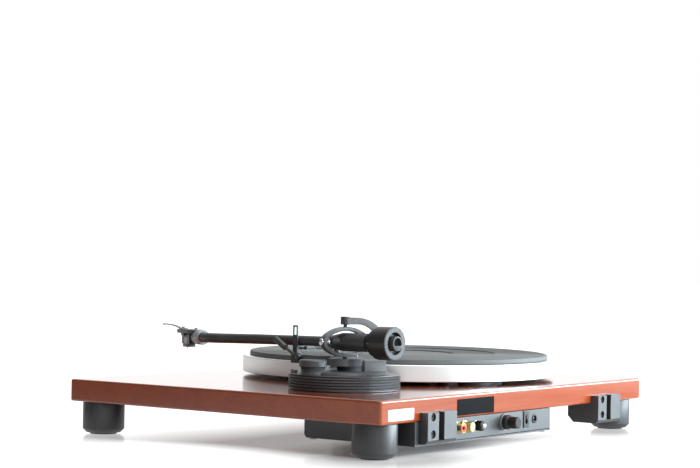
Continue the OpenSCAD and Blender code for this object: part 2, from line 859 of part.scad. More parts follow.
module tray() {
    color("#232427") difference() {
        union() {
            difference() {
                intersection() {
                    framed() block(tray_left, tray_right, tray_front, rear, z_cover, z_under);
                    tray_form(0);
                }
                difference() {
                    framed() block(tray_left + tray_wall, tray_right - tray_wall, tray_front + tray_wall,
                        rear - tray_wall, z_cover - 1, z_under + 1);
                    framed() block(notch_l - tray_wall, notch_r + tray_wall, rear - leg_d - pass_gap - tray_wall,
                        rear, z_cover - 2, z_under + 2);
                }
            }
            at_posts() disc(post_r, z_cover, z_under);
        }
        framed() block(notch_l, notch_r, rear - leg_d - pass_gap, rear + 1, z_cover - 1, z_under + 1);
        at_posts() disc(tray_screw_r + fix_gap, z_cover - 1, z_under + 1);
        at_motor() disc(motor_r + 1.5, z_top - motor_h - 1, z_under + 1);
        for (i = [0, 1])
            framed() translate([jack_mid - i * jack_pitch, 0, jack_z])
                rod(jack_r + fix_gap, panel_in - 1, rear + 1);
        framed() translate([ground_mid, 0, jack_z]) rod(2 + fix_gap, panel_in - 1, rear + 1);
        framed() translate([selector_mid, 0, jack_z]) rod(4 + fix_gap, panel_in - 1, rear + 1);
        framed() translate([switch_mid, 0, jack_z])
            block(-button_w / 2 - 1, button_w / 2 + 1, panel_in - 1, rear + 1,
            -(button_h + button_travel) / 2 - 1, (button_h + button_travel) / 2 + 1);
        framed() translate([inlet_mid, 0, jack_z]) rod(inlet_r + fix_gap, panel_in - 1, rear + 1);
    }
}

module tray_cover() {
    color("#2a2b2e") difference() {
        union() {
            intersection() {
                framed() block(tray_left, tray_right, tray_front, rear, z_tray, z_cover);
                tray_form(0);
            }
            for (x = [board_left + 4, board_right - 4], y = [board_rear - board_d + 4, board_rear - 4])
                framed() translate([x, y, 0]) disc(3, z_tray, z_board);
        }
        at_posts() disc(tray_screw_r + fix_gap, z_tray - 1, z_cover + 1);
    }
}

module tray_screws() {
    color("silver") at_posts() translate([0, 0, z_tray])
        screw_up(tray_screw_r, 3, 1.4, z_under + tray_screw_bite - z_tray);
}

module circuit_board() {
    color("#2f6b3a") framed()
        block(board_left, board_right, board_rear - board_d, board_rear, z_board, z_parts);
}

module jack_block() {
    color("#1a1a1c") difference() {
        framed() block(jack_mid - jack_pitch - 5, jack_mid + 5, panel_in - 11, panel_in, z_parts, z_under - 1);
        for (i = [0, 1])
            framed() translate([jack_mid - i * jack_pitch, 0, jack_z])
                rod(jack_r + fix_gap, panel_in - 6, panel_in + 1);
    }
}

module jack_shells() {
    color("#d9b45a") for (i = [0, 1])
        framed() translate([jack_mid - i * jack_pitch, 0, jack_z]) {
            rod_ring(jack_r, jack_r - 0.8, panel_in - 5.8, rear + jack_out);
            rod_ring(jack_r + 1.2, jack_r - 0.8, rear, rear + 1.2);
        }
}

module jack_insert(i) {
    framed() translate([jack_mid - i * jack_pitch, 0, jack_z])
        rod_ring(jack_r - 0.8 - fix_gap, 1.6, panel_in - 5, rear + jack_out - 0.4);
}

module jack_insert_right() { color("#b01c20") jack_insert(0); }
module jack_insert_left() { color("white") jack_insert(1); }

module ground_terminal() {
    color("silver") framed() translate([ground_mid, 0, jack_z]) {
        rod(2, panel_in - 4, rear + ground_out);
        rod_ring(4.2, 2, rear, rear + 1.8);
        rod_ring(3.8, 2, panel_in - 2, panel_in);
    }
}

module ground_nut() {
    color("#26262a") framed() translate([ground_mid, 0, jack_z]) {
        rod_ring(ground_nut_r, 2 + run_gap, rear + 2.2, rear + ground_out - 1.5);
        rod_ring(ground_nut_r - 1, 2 + run_gap, rear + 2.0, rear + 2.2);
    }
}

module selector_switch() {
    color("#3a3b40") framed() translate([selector_mid, 0, jack_z]) {
        block(-7, 7, panel_in - 9, panel_in, z_parts - jack_z, 6.5);
        rod(4, panel_in - 1, rear + 1.2);
        rod_ring(selector_r + 1, 3.5, rear, rear + 1.2);
        rod(3, rear, rear + selector_out - 3);
    }
}

module selector_knob() {
    color("#17171a") difference() {
        union() {
            framed() translate([selector_mid, 0, jack_z]) rod(selector_r, rear + 1.4, rear + 6);
            framed() translate([selector_mid, 0, jack_z]) rod(selector_r - 1.2, rear + 6, rear + selector_out);
        }
        framed() translate([selector_mid, 0, jack_z]) rod(3 + run_gap, rear + 1, rear + selector_out - 2.8);
        framed() translate([selector_mid, 0, jack_z])
            block(-0.4, 0.4, rear + selector_out - 0.6, rear + selector_out + 1, 0, selector_r);
    }
}

module power_switch() {
    half = (button_h + button_travel) / 2 + pass_gap;
    color("#33343a") difference() {
        union() {
            framed() translate([switch_mid, 0, jack_z]) block(-switch_w / 2, switch_w / 2, rear, rear + 0.9,
                -switch_h / 2, switch_h / 2);
            framed() translate([switch_mid, 0, jack_z]) block(-button_w / 2 - 0.9, button_w / 2 + 0.9,
                panel_in - 1, rear + 0.5, -half - 0.6, half + 0.6);
            framed() translate([switch_mid, 0, jack_z]) block(-switch_w / 2 + 1, switch_w / 2 - 1, panel_in - 8,
                panel_in, z_parts - jack_z, switch_h / 2 - 0.5);
        }
        framed() translate([switch_mid, 0, jack_z]) block(-button_w / 2 - 0.3, button_w / 2 + 0.3, panel_in - 3,
            rear + 2, -half, half);
    }
}

module power_button() {
    color("#0e0e10") framed() translate([switch_mid, 0, jack_z + button_travel / 2])
        block(-button_w / 2, button_w / 2, panel_in - 2.8, rear + 1.4, -button_h / 2, button_h / 2);
}

module power_inlet() {
    color("#1d1d20") difference() {
        union() {
            framed() translate([inlet_mid, 0, jack_z]) rod(inlet_r, panel_in - 1, rear + 0.6);
            framed() translate([inlet_mid, 0, jack_z]) block(-4.5, 4.5, panel_in - 12, panel_in,
                z_parts - jack_z, 5.5);
        }
        framed() translate([inlet_mid, 0, jack_z]) rod_ring(inlet_bore_r, 1, panel_in - 9, rear + 1);
        framed() translate([inlet_mid, 0, jack_z]) rod(inlet_bore_r, rear - 0.5, rear + 1);
    }
}

// Sockets for a dust cover's hinges

module socket(side) {
    color("#2b2c30") difference() {
        at_socket(side) {
            block(-socket_w / 2, socket_w / 2, 0, socket_out, z_cover, z_under + socket_up);
            translate([-socket_w / 2, 0, 0]) rotate([90, 0, 90]) linear_extrude(socket_w)
                polygon([[0.5, z_cover], [-leg_d + 6, z_cover], [-leg_d, z_cover + 6], [-leg_d, z_under],
                    [0.5, z_under]]);
        }
        at_socket(side) {
            translate([socket_w / 2 - screw_block_w - slot_w, socket_out - slot_d, z_cover + slot_floor])
                cube([slot_w, slot_d + 1, z_under + socket_up]);
            for (z = [socket_hole_top, socket_hole_low])
                translate([socket_hole_x, 0, z]) {
                    rod(socket_hole_r + fix_gap, -socket_bite - 1, socket_out + 1);
                    rod(socket_head_r + 0.2, socket_out - socket_head_h - 1.5, socket_out + 1);
                }
            translate([-socket_w / 2 - 1, socket_out, z_cover]) rotate([45, 0, 0])
                translate([0, -2, -2]) cube([socket_w + 2, 4, 4]);
        }
    }
}

module socket_left() { socket(-1); }
module socket_right() { socket(1); }

module socket_screws() {
    color("silver") for (s = [-1, 1], z = [socket_hole_top, socket_hole_low])
        at_socket(s) translate([socket_hole_x, socket_out - socket_head_h - 1.5, z]) rotate([-90, 0, 0])
            screw_down(socket_hole_r, socket_head_r, socket_head_h,
                socket_out - socket_head_h - 1.5 + socket_bite);
}

// Speed control on the board's front left

module speed_switch() {
    color("#3a3b40") at_speed() {
        block(-speed_box, speed_box, -speed_box, speed_box, z_under - 1.5 * speed_box, z_under);
        disc(speed_stem_r, z_under - 1, z_top + speed_h - 3);
    }
}

module speed_knob() {
    color("#c8c9cb") at_speed() difference() {
        rotate_extrude() polygon([[0, z_top + pass_gap], [speed_r, z_top + pass_gap],
            [speed_r, z_top + speed_h - 1.5], [speed_r - 1.5, z_top + speed_h], [0, z_top + speed_h]]);
        disc(speed_stem_r + run_gap, z_top - 1, z_top + speed_h - 2.8);
        block(-0.6, 0.6, speed_r - 8, speed_r + 1, z_top + speed_h - 0.6, z_top + speed_h + 1);
    }
}

// Tonearm base

module arm_mount() {
    color("#2c2d31") difference() {
        at_pivot() {
            disc(mount_r, z_top, z_top + mount_t);
            disc(sleeve_r, z_top, z_top + sleeve_h);
        }
        at_pivot() disc(stem_r + run_gap, z_top - 1, z_top + sleeve_h + 1);
        at_mount_screws() disc(mount_screw_r + fix_gap, z_top - 1, z_top + sleeve_h + 1);
        at_mount_screws() disc(2.8, z_top + mount_t, z_top + sleeve_h + 1);
    }
}

module arm_mount_screws() {
    color("silver") at_mount_screws() translate([0, 0, z_top + mount_t])
        screw_down(mount_screw_r, 2.6, 1.6, mount_t + screw_bite);
}

module height_ring() {
    step = ring_h / (ring_grooves + 0.5);
    color("#2a2b2e") at_pivot() difference() {
        union() {
            disc(ring_r, z_ring, z_ring_top);
            rotate([0, 0, -54]) translate([ring_r - 5, 0, 0]) disc(3, z_ring_top - 1, z_ring_top + 3);
        }
        disc(sleeve_r + run_gap, z_ring - 1, z_ring_top + 1);
        disc(mount_r + pass_gap, z_ring - 1, z_top + mount_t + pass_gap);
        for (i = [0 : ring_grooves - 1])
            translate([0, 0, z_ring + step * (i + 1.1)])
                tube(ring_r + 1, ring_r - 0.9, -step * 0.2, step * 0.2);
    }
}

module arm_base() {
    color("#313236") difference() {
        union() {
            at_pivot() {
                disc(stem_r, z_top + 1, z_deck + 1);
                disc(deck_r, z_deck, z_deck_top);
                disc(column_r, lobe_z, column_top);
                rotate([0, 0, neck_angle]) translate([neck_shift, 0, 0]) disc(neck_r, z_deck_top - 1, lobe_z + 1);
                disc(turn_pin_r + 0.4, column_top - 1, z_arm - hoop_b + hoop_t - 0.5);
                translate([skate_x, skate_y, 0]) disc(skate_r - 1.4, z_deck, z_skate);
                translate([skate_x, skate_y, 0]) disc(3, z_deck, z_skate + skate_h - 1.6);
                rotate([0, 0, plunger_angle]) {
                    translate([bar_at, 0, 0]) disc(guide_r + 1.5, z_deck, z_deck_top);
                    translate([bar_at, 0, 0]) disc(guide_r, z_deck, guide_top);
                    block(deck_r - 8, bar_at, -guide_r, guide_r, z_deck, z_deck_top);
                }
            }
            base_frame() {
                block(lobe_in, lobe_out, -rest_at - 3.5, -column_r + 4, lobe_z, lobe_top);
                translate([0, -cue_at, cue_z]) rotate([0, 90, 0])
                    disc(axle_r, lobe_out - 1, lobe_out + cue_hub + 0.4);
            }
        }
        at_pivot() disc(9, z_top - 1, z_deck);
        at_pivot() rotate([0, 0, plunger_angle]) translate([bar_at, 0, 0])
            disc(plunger_r + run_gap, z_deck + 2, guide_top + 1);
    }
}

module antiskate_dial() {
    color("#3a3b3f") at_pivot() translate([skate_x, skate_y, 0]) difference() {
        rotate_extrude() polygon([[0, z_skate + pass_gap], [skate_r, z_skate + pass_gap],
            [skate_r, z_skate + skate_h - 0.8], [skate_r - 0.8, z_skate + skate_h], [0, z_skate + skate_h]]);
        disc(3 + run_gap, z_skate - 1, z_skate + skate_h - 1.4);
        block(-0.4, 0.4, skate_r - 5, skate_r + 1, z_skate + skate_h - 0.5, z_skate + skate_h + 1);
    }
}

module cue_lever() {
    color("#2a2b2e") base_frame() translate([lobe_out + pass_gap, -cue_at, cue_z]) {
        difference() {
            union() {
                rotate([0, 90, 0]) cylinder(r = 3.4, h = cue_hub);
                translate([cue_side, 0, 0]) rotate([-cue_up, 0, 0]) rod(1.3, -cue_l, -2.4);
                translate([cue_side, 0, 0]) rotate([-cue_up, 0, 0]) rod(2.7, -cue_l, -cue_l + cue_grip);
            }
            translate([-1, 0, 0]) rotate([0, 90, 0]) cylinder(r = axle_r + run_gap, h = cue_hub + 2);
        }
    }
}

module lift_bar() {
    color("#46474c") at_pivot() {
        rotate([0, 0, plunger_angle]) translate([bar_at, 0, 0])
            disc(plunger_r, z_deck + 2.2 + 5, bar_top - 2);
        rotate([0, 0, plunger_angle - 10]) rotate_extrude(angle = 51)
            translate([bar_at - 1.5, bar_top - 3]) square([3, 3]);
    }
}

module arm_rest() {
    color("#2a2b2e") base_frame() difference() {
        union() {
            block(tube_r + 1.8, tube_r + 3.4, -rest_at - 2.6, -rest_at + 2.6, lobe_top, z_arm + rest_up);
            block(-tube_r, tube_r + 2, -rest_at - 2.4, -rest_at + 2.4,
                z_arm + shelf_top - 3, z_arm + shelf_top);
            block(lobe_in, lobe_out, -rest_at - 3.5, -rest_at + 3.5, lobe_top, lobe_top + 2);
        }
        block(tube_r, tube_r + 6, -rest_at - 1.6, -rest_at + 1.6, z_arm + rest_up - 8.5, z_arm + rest_up - 1.5);
    }
}

// Gimbal

module gimbal_arch() {
    inner_bend = arch_bend_r - arch_t;
    color("#4a4c50") difference() {
        at_pivot() rotate([0, 0, arch_angle]) {
            translate([0, 0, z_arm]) rotate([90, 0, 0]) translate([0, 0, -arch_w / 2]) linear_extrude(arch_w) {
                translate([0, arch_top - arch_t]) square([arch_out - arch_bend_r, arch_t]);
                translate([arch_out - arch_bend_r, arch_top - arch_bend_r]) intersection() {
                    difference() {
                        circle(arch_bend_r);
                        circle(inner_bend);
                    }
                    square(arch_bend_r + 1);
                }
                translate([arch_in, z_deck_top - z_arm])
                    square([arch_t, arch_top - arch_bend_r - z_deck_top + z_arm]);
            }
            block(column_r + 1, arch_out, -7, 7, z_deck_top, z_deck_top + root_h);
        }
        at_pivot() translate([0, 0, z_arm]) disc(cap_r + fix_gap, arch_top - arch_t - 1, arch_top + 1);
    }
}

module top_pivot() {
    color("#202124") at_pivot() translate([0, 0, z_arm]) {
        disc(turn_pin_r, hoop_b - hoop_t + 0.5, arch_top);
        disc(cap_r, arch_top - arch_t - 0.2, arch_top + 0.7);
    }
}

// Oval of four arcs, shrunk evenly by inset
module oval(inset) {
    a = hoop_a - inset;
    b = hoop_b - inset;
    end_r = hoop_end_r - inset;
    big = (oval_c * oval_c + b * b - end_r * end_r) / (2 * (b - end_r));
    edge = oval_c * big / (big - end_r);
    intersection() {
        translate([0, b - big]) circle(big, $fn = 240);
        translate([0, big - b]) circle(big, $fn = 240);
        translate([-edge, -b]) square([2 * edge, 2 * b]);
    }
    for (s = [-1, 1])
        translate([s * oval_c, 0]) circle(end_r);
}

module gimbal_hoop() {
    color("#3c3e42") difference() {
        hoop_frame() rotate([90, 0, 0]) translate([0, 0, -hoop_depth / 2])
                linear_extrude(hoop_depth) difference() {
            oval(0);
            oval(hoop_t);
        }
        yaw_frame() disc(turn_pin_r + run_gap, 0, hoop_b + 1);
        yaw_frame() disc(turn_pin_r + 0.4 + run_gap, -hoop_b - 1, 0);
        hoop_frame() rotate([0, 90, 0]) disc(tilt_pin_r + fix_gap, -hoop_a - 1, hoop_a + 1);
    }
}

module tilt_pins() {
    color("silver") hoop_frame() for (a = [0, 180]) rotate([0, 0, a]) rotate([0, 90, 0]) {
        disc(tilt_pin_r, boss_end - 4, hoop_a);
        disc(tilt_pin_r + 1.3, hoop_a, hoop_a + tilt_head);
        tube(washer_r, tilt_pin_r - 0.5, washer_end - washer_t, washer_end);
    }
}

// Tonearm

module arm_housing() {
    color("#1e1f22") difference() {
        union() {
            arm_frame() translate([0, -housing_front, 0]) rotate([-90, 0, 0])
                cylinder(r1 = tube_r + 0.9, r2 = housing_r, h = housing_front - 2);
            arm_frame() rod(housing_r, -2, housing_back);
            hoop_frame() rotate([0, 90, 0]) disc(tilt_pin_r + 2.2, -boss_end, boss_end);
        }
        arm_frame() rod(straight_r + fix_gap, -housing_front - 1, -housing_front + housing_hole);
        arm_frame() rod(stub_pin_r + fix_gap, housing_back - housing_hole, housing_back + 1);
        for (a = [0, 180])
            hoop_frame() rotate([0, 0, a]) rotate([0, 90, 0])
                disc(tilt_pin_r + run_gap, boss_end - 4.2, boss_end + 1);
    }
}

module arm_tube() {
    color("#3a3a3a") {
        arm_frame() {
            rod(straight_r, -tube_run - 1, -housing_front + 7.8);
            translate([bend_out_r, -tube_run, 0]) rotate([0, 0, 180]) rotate_extrude(angle = bend_out)
                translate([bend_out_r, 0]) circle(tube_r);
            translate([0, -tube_run, 0]) after_bend(bend_out_r, bend_out, 1) {
                rod(straight_r, -tube_slant - 1, 1);
                translate([-bend_in_r, -tube_slant, 0]) rotate([0, 0, -bend_out - head_angle])
                    rotate_extrude(angle = bend_out + head_angle) translate([bend_in_r, 0]) circle(tube_r);
            }
        }
        head_frame() rod(straight_r, -lock_l / 2, 1);
    }
}

module rear_stub() {
    color("#8a8d90") arm_frame() difference() {
        union() {
            rod(stub_r, housing_back, stub_end);
            rod(stub_pin_r, housing_back - housing_hole + 0.2, housing_back + 1);
        }
        difference() {
            rod(stub_bore_r, stub_end - 6, stub_end + 1);
            block(-stub_bore_r, stub_bore_r, stub_end - 7, stub_end + 2, -stub_bore_r - 1, -0.35 * stub_bore_r);
        }
    }
}

module weight_sleeve() {
    color("#202124") arm_frame() rod_ring(sleeve_out, stub_r + run_gap, sleeve_front, sleeve_back);
}

module counterweight() {
    color("#2b2c2d") arm_frame() difference() {
        rod(weight_r, weight_at, weight_at + weight_l);
        rod(sleeve_out + run_gap, weight_at - 1, weight_at + weight_l + 1);
        rod(weight_recess_r, weight_at + weight_l - weight_recess, weight_at + weight_l + 1);
    }
}

module force_dial() {
    color("#1b1b1d") arm_frame() rod_ring(dial_r, sleeve_out + run_gap, weight_at - pass_gap - dial_l,
        weight_at - pass_gap);
}

// Head

module lock_collar() {
    color("#3b3c3e") head_frame() rod_ring(lock_r, straight_r + run_gap, -lock_l, -0.5);
}

module headshell() {
    half = shell_w / 2;
    tip = -lock_l - shell_l;
    color("#2a2b2d") head_frame() difference() {
        union() {
            rod(straight_r - 0.4, -lock_l - 1, -lock_l / 2 - 0.2);
            rod(lock_r - 0.4, -lock_l - 5, -lock_l - pass_gap);
            translate([0, 0, shell_rise]) linear_extrude(shell_t) polygon([[-5, -lock_l - 2], [5, -lock_l - 2],
                [half, -lock_l - 12], [half, tip + 4], [half - 3, tip], [3 - half, tip], [-half, tip + 4],
                [-half, -lock_l - 12]]);
        }
        for (s = [-1, 1])
            translate([s * cart_pitch / 2 - screw_r - 0.15, -cart_at - 7, shell_rise - 1])
                cube([2 * screw_r + 0.3, 14, shell_t + 2]);
    }
}

module finger_lift() {
    edge = shell_w / 2 + 0.5;
    color("#77797c") head_frame() difference() {
        union() {
            block(cart_pitch / 2 - 3, edge + 1, -cart_at - 4, -cart_at + 4, shell_top, shell_top + lift_t);
            translate([edge + lift_r * sin(lift_tilt), -cart_at + 2.5,
                    shell_top + lift_t / 2 - lift_r * cos(lift_tilt)])
                rotate([90, 0, 0]) rotate([0, 0, 90 - lift_end])
                rotate_extrude(angle = lift_tilt + lift_end, $fn = 240)
                translate([lift_r - lift_t / 2, 0]) square([lift_t, 5]);
        }
        translate([cart_pitch / 2, -cart_at, shell_top - 1]) cylinder(r = screw_r + 0.15, h = lift_t + 2);
    }
}

module cartridge() {
    color("#1f2124") head_frame() difference() {
        union() {
            block(-8.2, 8.2, -cart_at - 4, -cart_at + 4, cart_top - cart_flange_t, cart_top);
            block(-cart_w / 2, cart_w / 2, -cart_at - 8, -cart_at - 8 + cart_l, cart_top - cart_h,
                cart_top - pass_gap);
        }
        for (s = [-1, 1])
            translate([s * cart_pitch / 2, -cart_at, cart_top - cart_flange_t - 1])
                cylinder(r = screw_r + fix_gap, h = cart_flange_t + 2);
    }
}

module stylus() {
    low = cart_top - cart_h - stylus_h;
    color("#8c2f2a") head_frame() {
        block(-cart_w / 2 + 2, cart_w / 2 - 2, -cart_at - 11, -cart_at + 3, low, cart_top - cart_h);
        translate([0, -cart_at - 9.5, low - stylus_drop]) cylinder(r1 = 0.2, r2 = 0.8, h = stylus_drop + 1);
    }
}

module cartridge_screws() {
    color("silver") head_frame() for (s = [-1, 1])
        translate([s * cart_pitch / 2, -cart_at, shell_top + (s > 0 ? lift_t : 0)])
            screw_down(screw_r, 2.2, 1.4, shell_top + (s > 0 ? lift_t : 0) - cart_top + cart_flange_t);
}

plinth();
feet();
foot_pads();
foot_screws();
bearing_housing();
bearing_screws();
thrust_ball();
spindle();
platter();
mat();
motor_body();
motor_plate();
motor_grommets();
motor_screws();
motor_pulley();
drive_belt();
tray();
tray_cover();
tray_screws();
circuit_board();
jack_block();
jack_shells();
jack_insert_right();
jack_insert_left();
ground_terminal();
ground_nut();
selector_switch();
selector_knob();
power_switch();
power_button();
power_inlet();
socket_left();
socket_right();
socket_screws();
speed_switch();
speed_knob();
arm_mount();
arm_mount_screws();
height_ring();
arm_base();
gimbal_arch();
top_pivot();
gimbal_hoop();
tilt_pins();
arm_housing();
arm_tube();
rear_stub();
weight_sleeve();
counterweight();
force_dial();
lock_collar();
headshell();
finger_lift();
cartridge();
stylus();
cartridge_screws();
antiskate_dial();
cue_lever();
lift_bar();
arm_rest();
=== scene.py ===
# %% [markdown]
# # A belt-drive turntable, dressed in Blender
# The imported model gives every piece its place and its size, and it never changes here.
# This script lays finer forms and real finishes over it, one piece at a time: lacquered board,
# turned aluminium, ribbed rubber, satin black arm. Lengths on the object are in millimetres, and MM
# turns them into Blender's metres; the lamps and the floor are in metres.

# %% Load the frame
import json
import math

import bmesh
import bpy
from mathutils import Matrix, Vector


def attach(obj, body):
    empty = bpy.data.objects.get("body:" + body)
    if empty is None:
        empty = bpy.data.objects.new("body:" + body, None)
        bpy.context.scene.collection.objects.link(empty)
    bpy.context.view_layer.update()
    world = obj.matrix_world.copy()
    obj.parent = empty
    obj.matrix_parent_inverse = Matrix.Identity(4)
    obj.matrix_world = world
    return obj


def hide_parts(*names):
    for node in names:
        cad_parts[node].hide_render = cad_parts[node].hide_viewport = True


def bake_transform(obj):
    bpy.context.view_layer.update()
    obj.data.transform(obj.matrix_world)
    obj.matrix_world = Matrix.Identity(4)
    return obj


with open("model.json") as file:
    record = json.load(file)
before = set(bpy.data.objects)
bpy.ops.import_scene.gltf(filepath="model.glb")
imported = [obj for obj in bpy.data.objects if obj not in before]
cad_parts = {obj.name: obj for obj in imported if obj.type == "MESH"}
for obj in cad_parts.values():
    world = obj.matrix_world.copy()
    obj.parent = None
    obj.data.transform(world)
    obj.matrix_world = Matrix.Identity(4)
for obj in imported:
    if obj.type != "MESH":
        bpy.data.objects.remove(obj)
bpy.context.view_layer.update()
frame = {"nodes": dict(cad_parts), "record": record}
body_of = {n: body for body, names in frame["record"]["behaviour"]["bodies"].items() for n in names}
slot_of = {part["node"]: part["material_slot"] for part in frame["record"]["subparts"]}
MM = 0.001

# %% [markdown]
# ## The camera
# The view is from behind the right-hand corner, low down and far away, so the board looks thin and
# its edges hardly converge. The camera is set from its place, its heading, a small upward tilt and a
# small roll, which is surer than aiming it at a point.

# %% Camera
SENSOR = 36
FRAME_WIDTH = 700
FAR_CLIP = 50


def aim(place, heading, tilt, roll, pixels):
    """A camera from its place in mm, its angles in degrees and its focal length in pixels of the frame."""
    h, t, k = (math.radians(a) for a in (heading, tilt, roll))
    forward = Vector((math.cos(t) * math.cos(h), math.cos(t) * math.sin(h), math.sin(t)))
    right = forward.cross(Vector((0, 0, 1))).normalized()
    up = right.cross(forward)
    across = math.cos(k) * right + math.sin(k) * up
    upward = math.cos(k) * up - math.sin(k) * right
    lens = bpy.data.cameras.new("view")
    lens.sensor_width = SENSOR
    lens.lens = pixels * SENSOR / FRAME_WIDTH
    lens.clip_end = FAR_CLIP
    eye = bpy.data.objects.new("view", lens)
    eye.matrix_world = Matrix((across, upward, -forward)).transposed().to_4x4()
    eye.location = Vector(place) * MM
    bpy.context.scene.collection.objects.link(eye)
    bpy.context.scene.camera = eye
    return eye


eye = aim(place=(1444.8, 1027.8, 163.05), heading=-143.755, tilt=0.766, roll=0.983, pixels=1863)
print("camera at", [round(v, 3) for v in eye.location])

# %% [markdown]
# ## Sums with sockets
# A finish is a small sum: so much of this noise, less that ring. Writing it as Python keeps it
# readable, so one class wraps a socket and turns + - * and ** into Math nodes, and another holds a
# material while it is put together.

# %% Wire and Finish
class Wire:
    """A socket that can be added and multiplied like a number."""

    def __init__(self, finish, socket):
        self.finish = finish
        self.socket = socket

    def sum(self, operation, other, swapped=False):
        pair = (other, self) if swapped else (self, other)
        return self.finish.node("ShaderNodeMath", {"operation": operation}, {0: pair[0], 1: pair[1]})

    def __add__(self, other):
        return self.sum("ADD", other)

    def __sub__(self, other):
        return self.sum("SUBTRACT", other)

    def __rsub__(self, other):
        return self.sum("SUBTRACT", other, True)

    def __mul__(self, other):
        return self.sum("MULTIPLY", other)

    def __pow__(self, other):
        return self.sum("POWER", other)

    def __rpow__(self, other):
        return self.sum("POWER", other, True)

    def __abs__(self):
        return self.sum("ABSOLUTE", 0.0)

    __radd__ = __add__
    __rmul__ = __mul__


class Finish:
    """A material under construction. Constants go straight onto the shader's own sockets."""

    def __init__(self, name, **constants):
        self.material = bpy.data.materials.new(name)
        self.material.use_nodes = True
        self.tree = self.material.node_tree
        self.shader = self.tree.nodes["Principled BSDF"]
        for socket, value in constants.items():
            self.shader.inputs[socket.replace("_", " ")].default_value = value

    def put(self, socket, value):
        if isinstance(value, Wire):
            self.tree.links.new(value.socket, socket)
        elif isinstance(value, (tuple, list)) and socket.type == "RGBA" and len(value) == 3:
            socket.default_value = (*value, 1)
        else:
            socket.default_value = value

    def node(self, kind, settings=None, sockets=None, out=0):
        made = self.tree.nodes.new(kind)
        for key, value in (settings or {}).items():
            setattr(made, key, value)
        for key, value in (sockets or {}).items():
            self.put(made.inputs[key], value)
        return Wire(self, made.outputs[out])

    def feed(self, socket, value):
        self.put(self.shader.inputs[socket], value)

    def place(self, centre=(0, 0, 0), stretch=(1, 1, 1), turn=(0, 0, 0)):
        """Object coordinates, moved to a centre in mm, turned, and stretched."""
        at = self.node("ShaderNodeTexCoord", out="Object")
        at = self.node("ShaderNodeMapping", {"vector_type": "TEXTURE"},
                       {"Vector": at, "Location": [c * MM for c in centre],
                        "Rotation": [math.radians(t) for t in turn]})
        return self.node("ShaderNodeVectorMath", {"operation": "MULTIPLY"}, {0: at, 1: stretch})

    def noise(self, at, scale, detail=2.0, rough=0.5, twist=0.0):
        return self.node("ShaderNodeTexNoise", None, {"Vector": at, "Scale": scale, "Detail": detail,
                                                     "Roughness": rough, "Distortion": twist})

    def ramp(self, value, low, high, to=(0.0, 1.0)):
        ends = {0: value, 1: low, 2: high, 3: to[0], 4: to[1]}
        return self.node("ShaderNodeMapRange", {"clamp": True}, ends)

    def mix(self, share, first, second):
        return self.node("ShaderNodeMix", {"data_type": "RGBA"}, {0: share, 6: first, 7: second}, 2)

    def relief(self, height, depth):
        """A bump whose depth is given in mm."""
        return self.node("ShaderNodeBump", None, {"Strength": 1.0, "Distance": depth * MM, "Height": height})

    def rings(self, centre, turn, scale):
        """Noise that runs round an axis, as a lathe tool leaves it."""
        at = self.place(centre, turn=turn)
        x, y, z = (self.node("ShaderNodeSeparateXYZ", None, {0: at}, i) for i in range(3))
        away = (x * x + y * y) ** 0.5
        flat = self.node("ShaderNodeCombineXYZ", None, {0: away, 1: z, 2: 0.0})
        return self.noise(flat, scale, 3.0, 0.6)


print("finish tools ready")

# %% [markdown]
# ## Finishes
# Most pieces are moulded or painted, so one recipe serves them: two close tones, a broad cloud that
# keeps the tone from being even, and a fine grain that roughens the gloss. Paint on an edge wears and
# shines first, so a sharp edge takes a little of a third, paler tone. The finishes stand in a table:
# a pale tone, a dark tone, a roughness, and what else sets one apart.

# %% Plain grained finishes
CLOUD_SCALE = 45
SPREAD = 0.16


def grained(name, light, dark, rough, metal=0.0, grain=1400, depth=0.02, worn=None, shine=0.5):
    f = Finish(name, Metallic=metal, Specular_IOR_Level=shine)
    at = f.place()
    cloud = f.noise(at, CLOUD_SCALE, 4, 0.6)
    fine = f.noise(at, grain, 2, 0.6)
    tone = f.mix(f.ramp(cloud * 0.7 + fine * 0.3, 0.3, 0.7), dark, light)
    if worn:
        edge = f.node("ShaderNodeNewGeometry", out="Pointiness")
        tone = f.mix(f.ramp(edge + (cloud - 0.5) * 0.06, 0.53, 0.62, (0.0, 0.7)), tone, worn)
    f.feed("Base Color", tone)
    f.feed("Roughness", (cloud - 0.5) * SPREAD + (fine - 0.5) * 0.5 * SPREAD + rough)
    f.feed("Normal", f.relief(fine, depth))
    return f.material


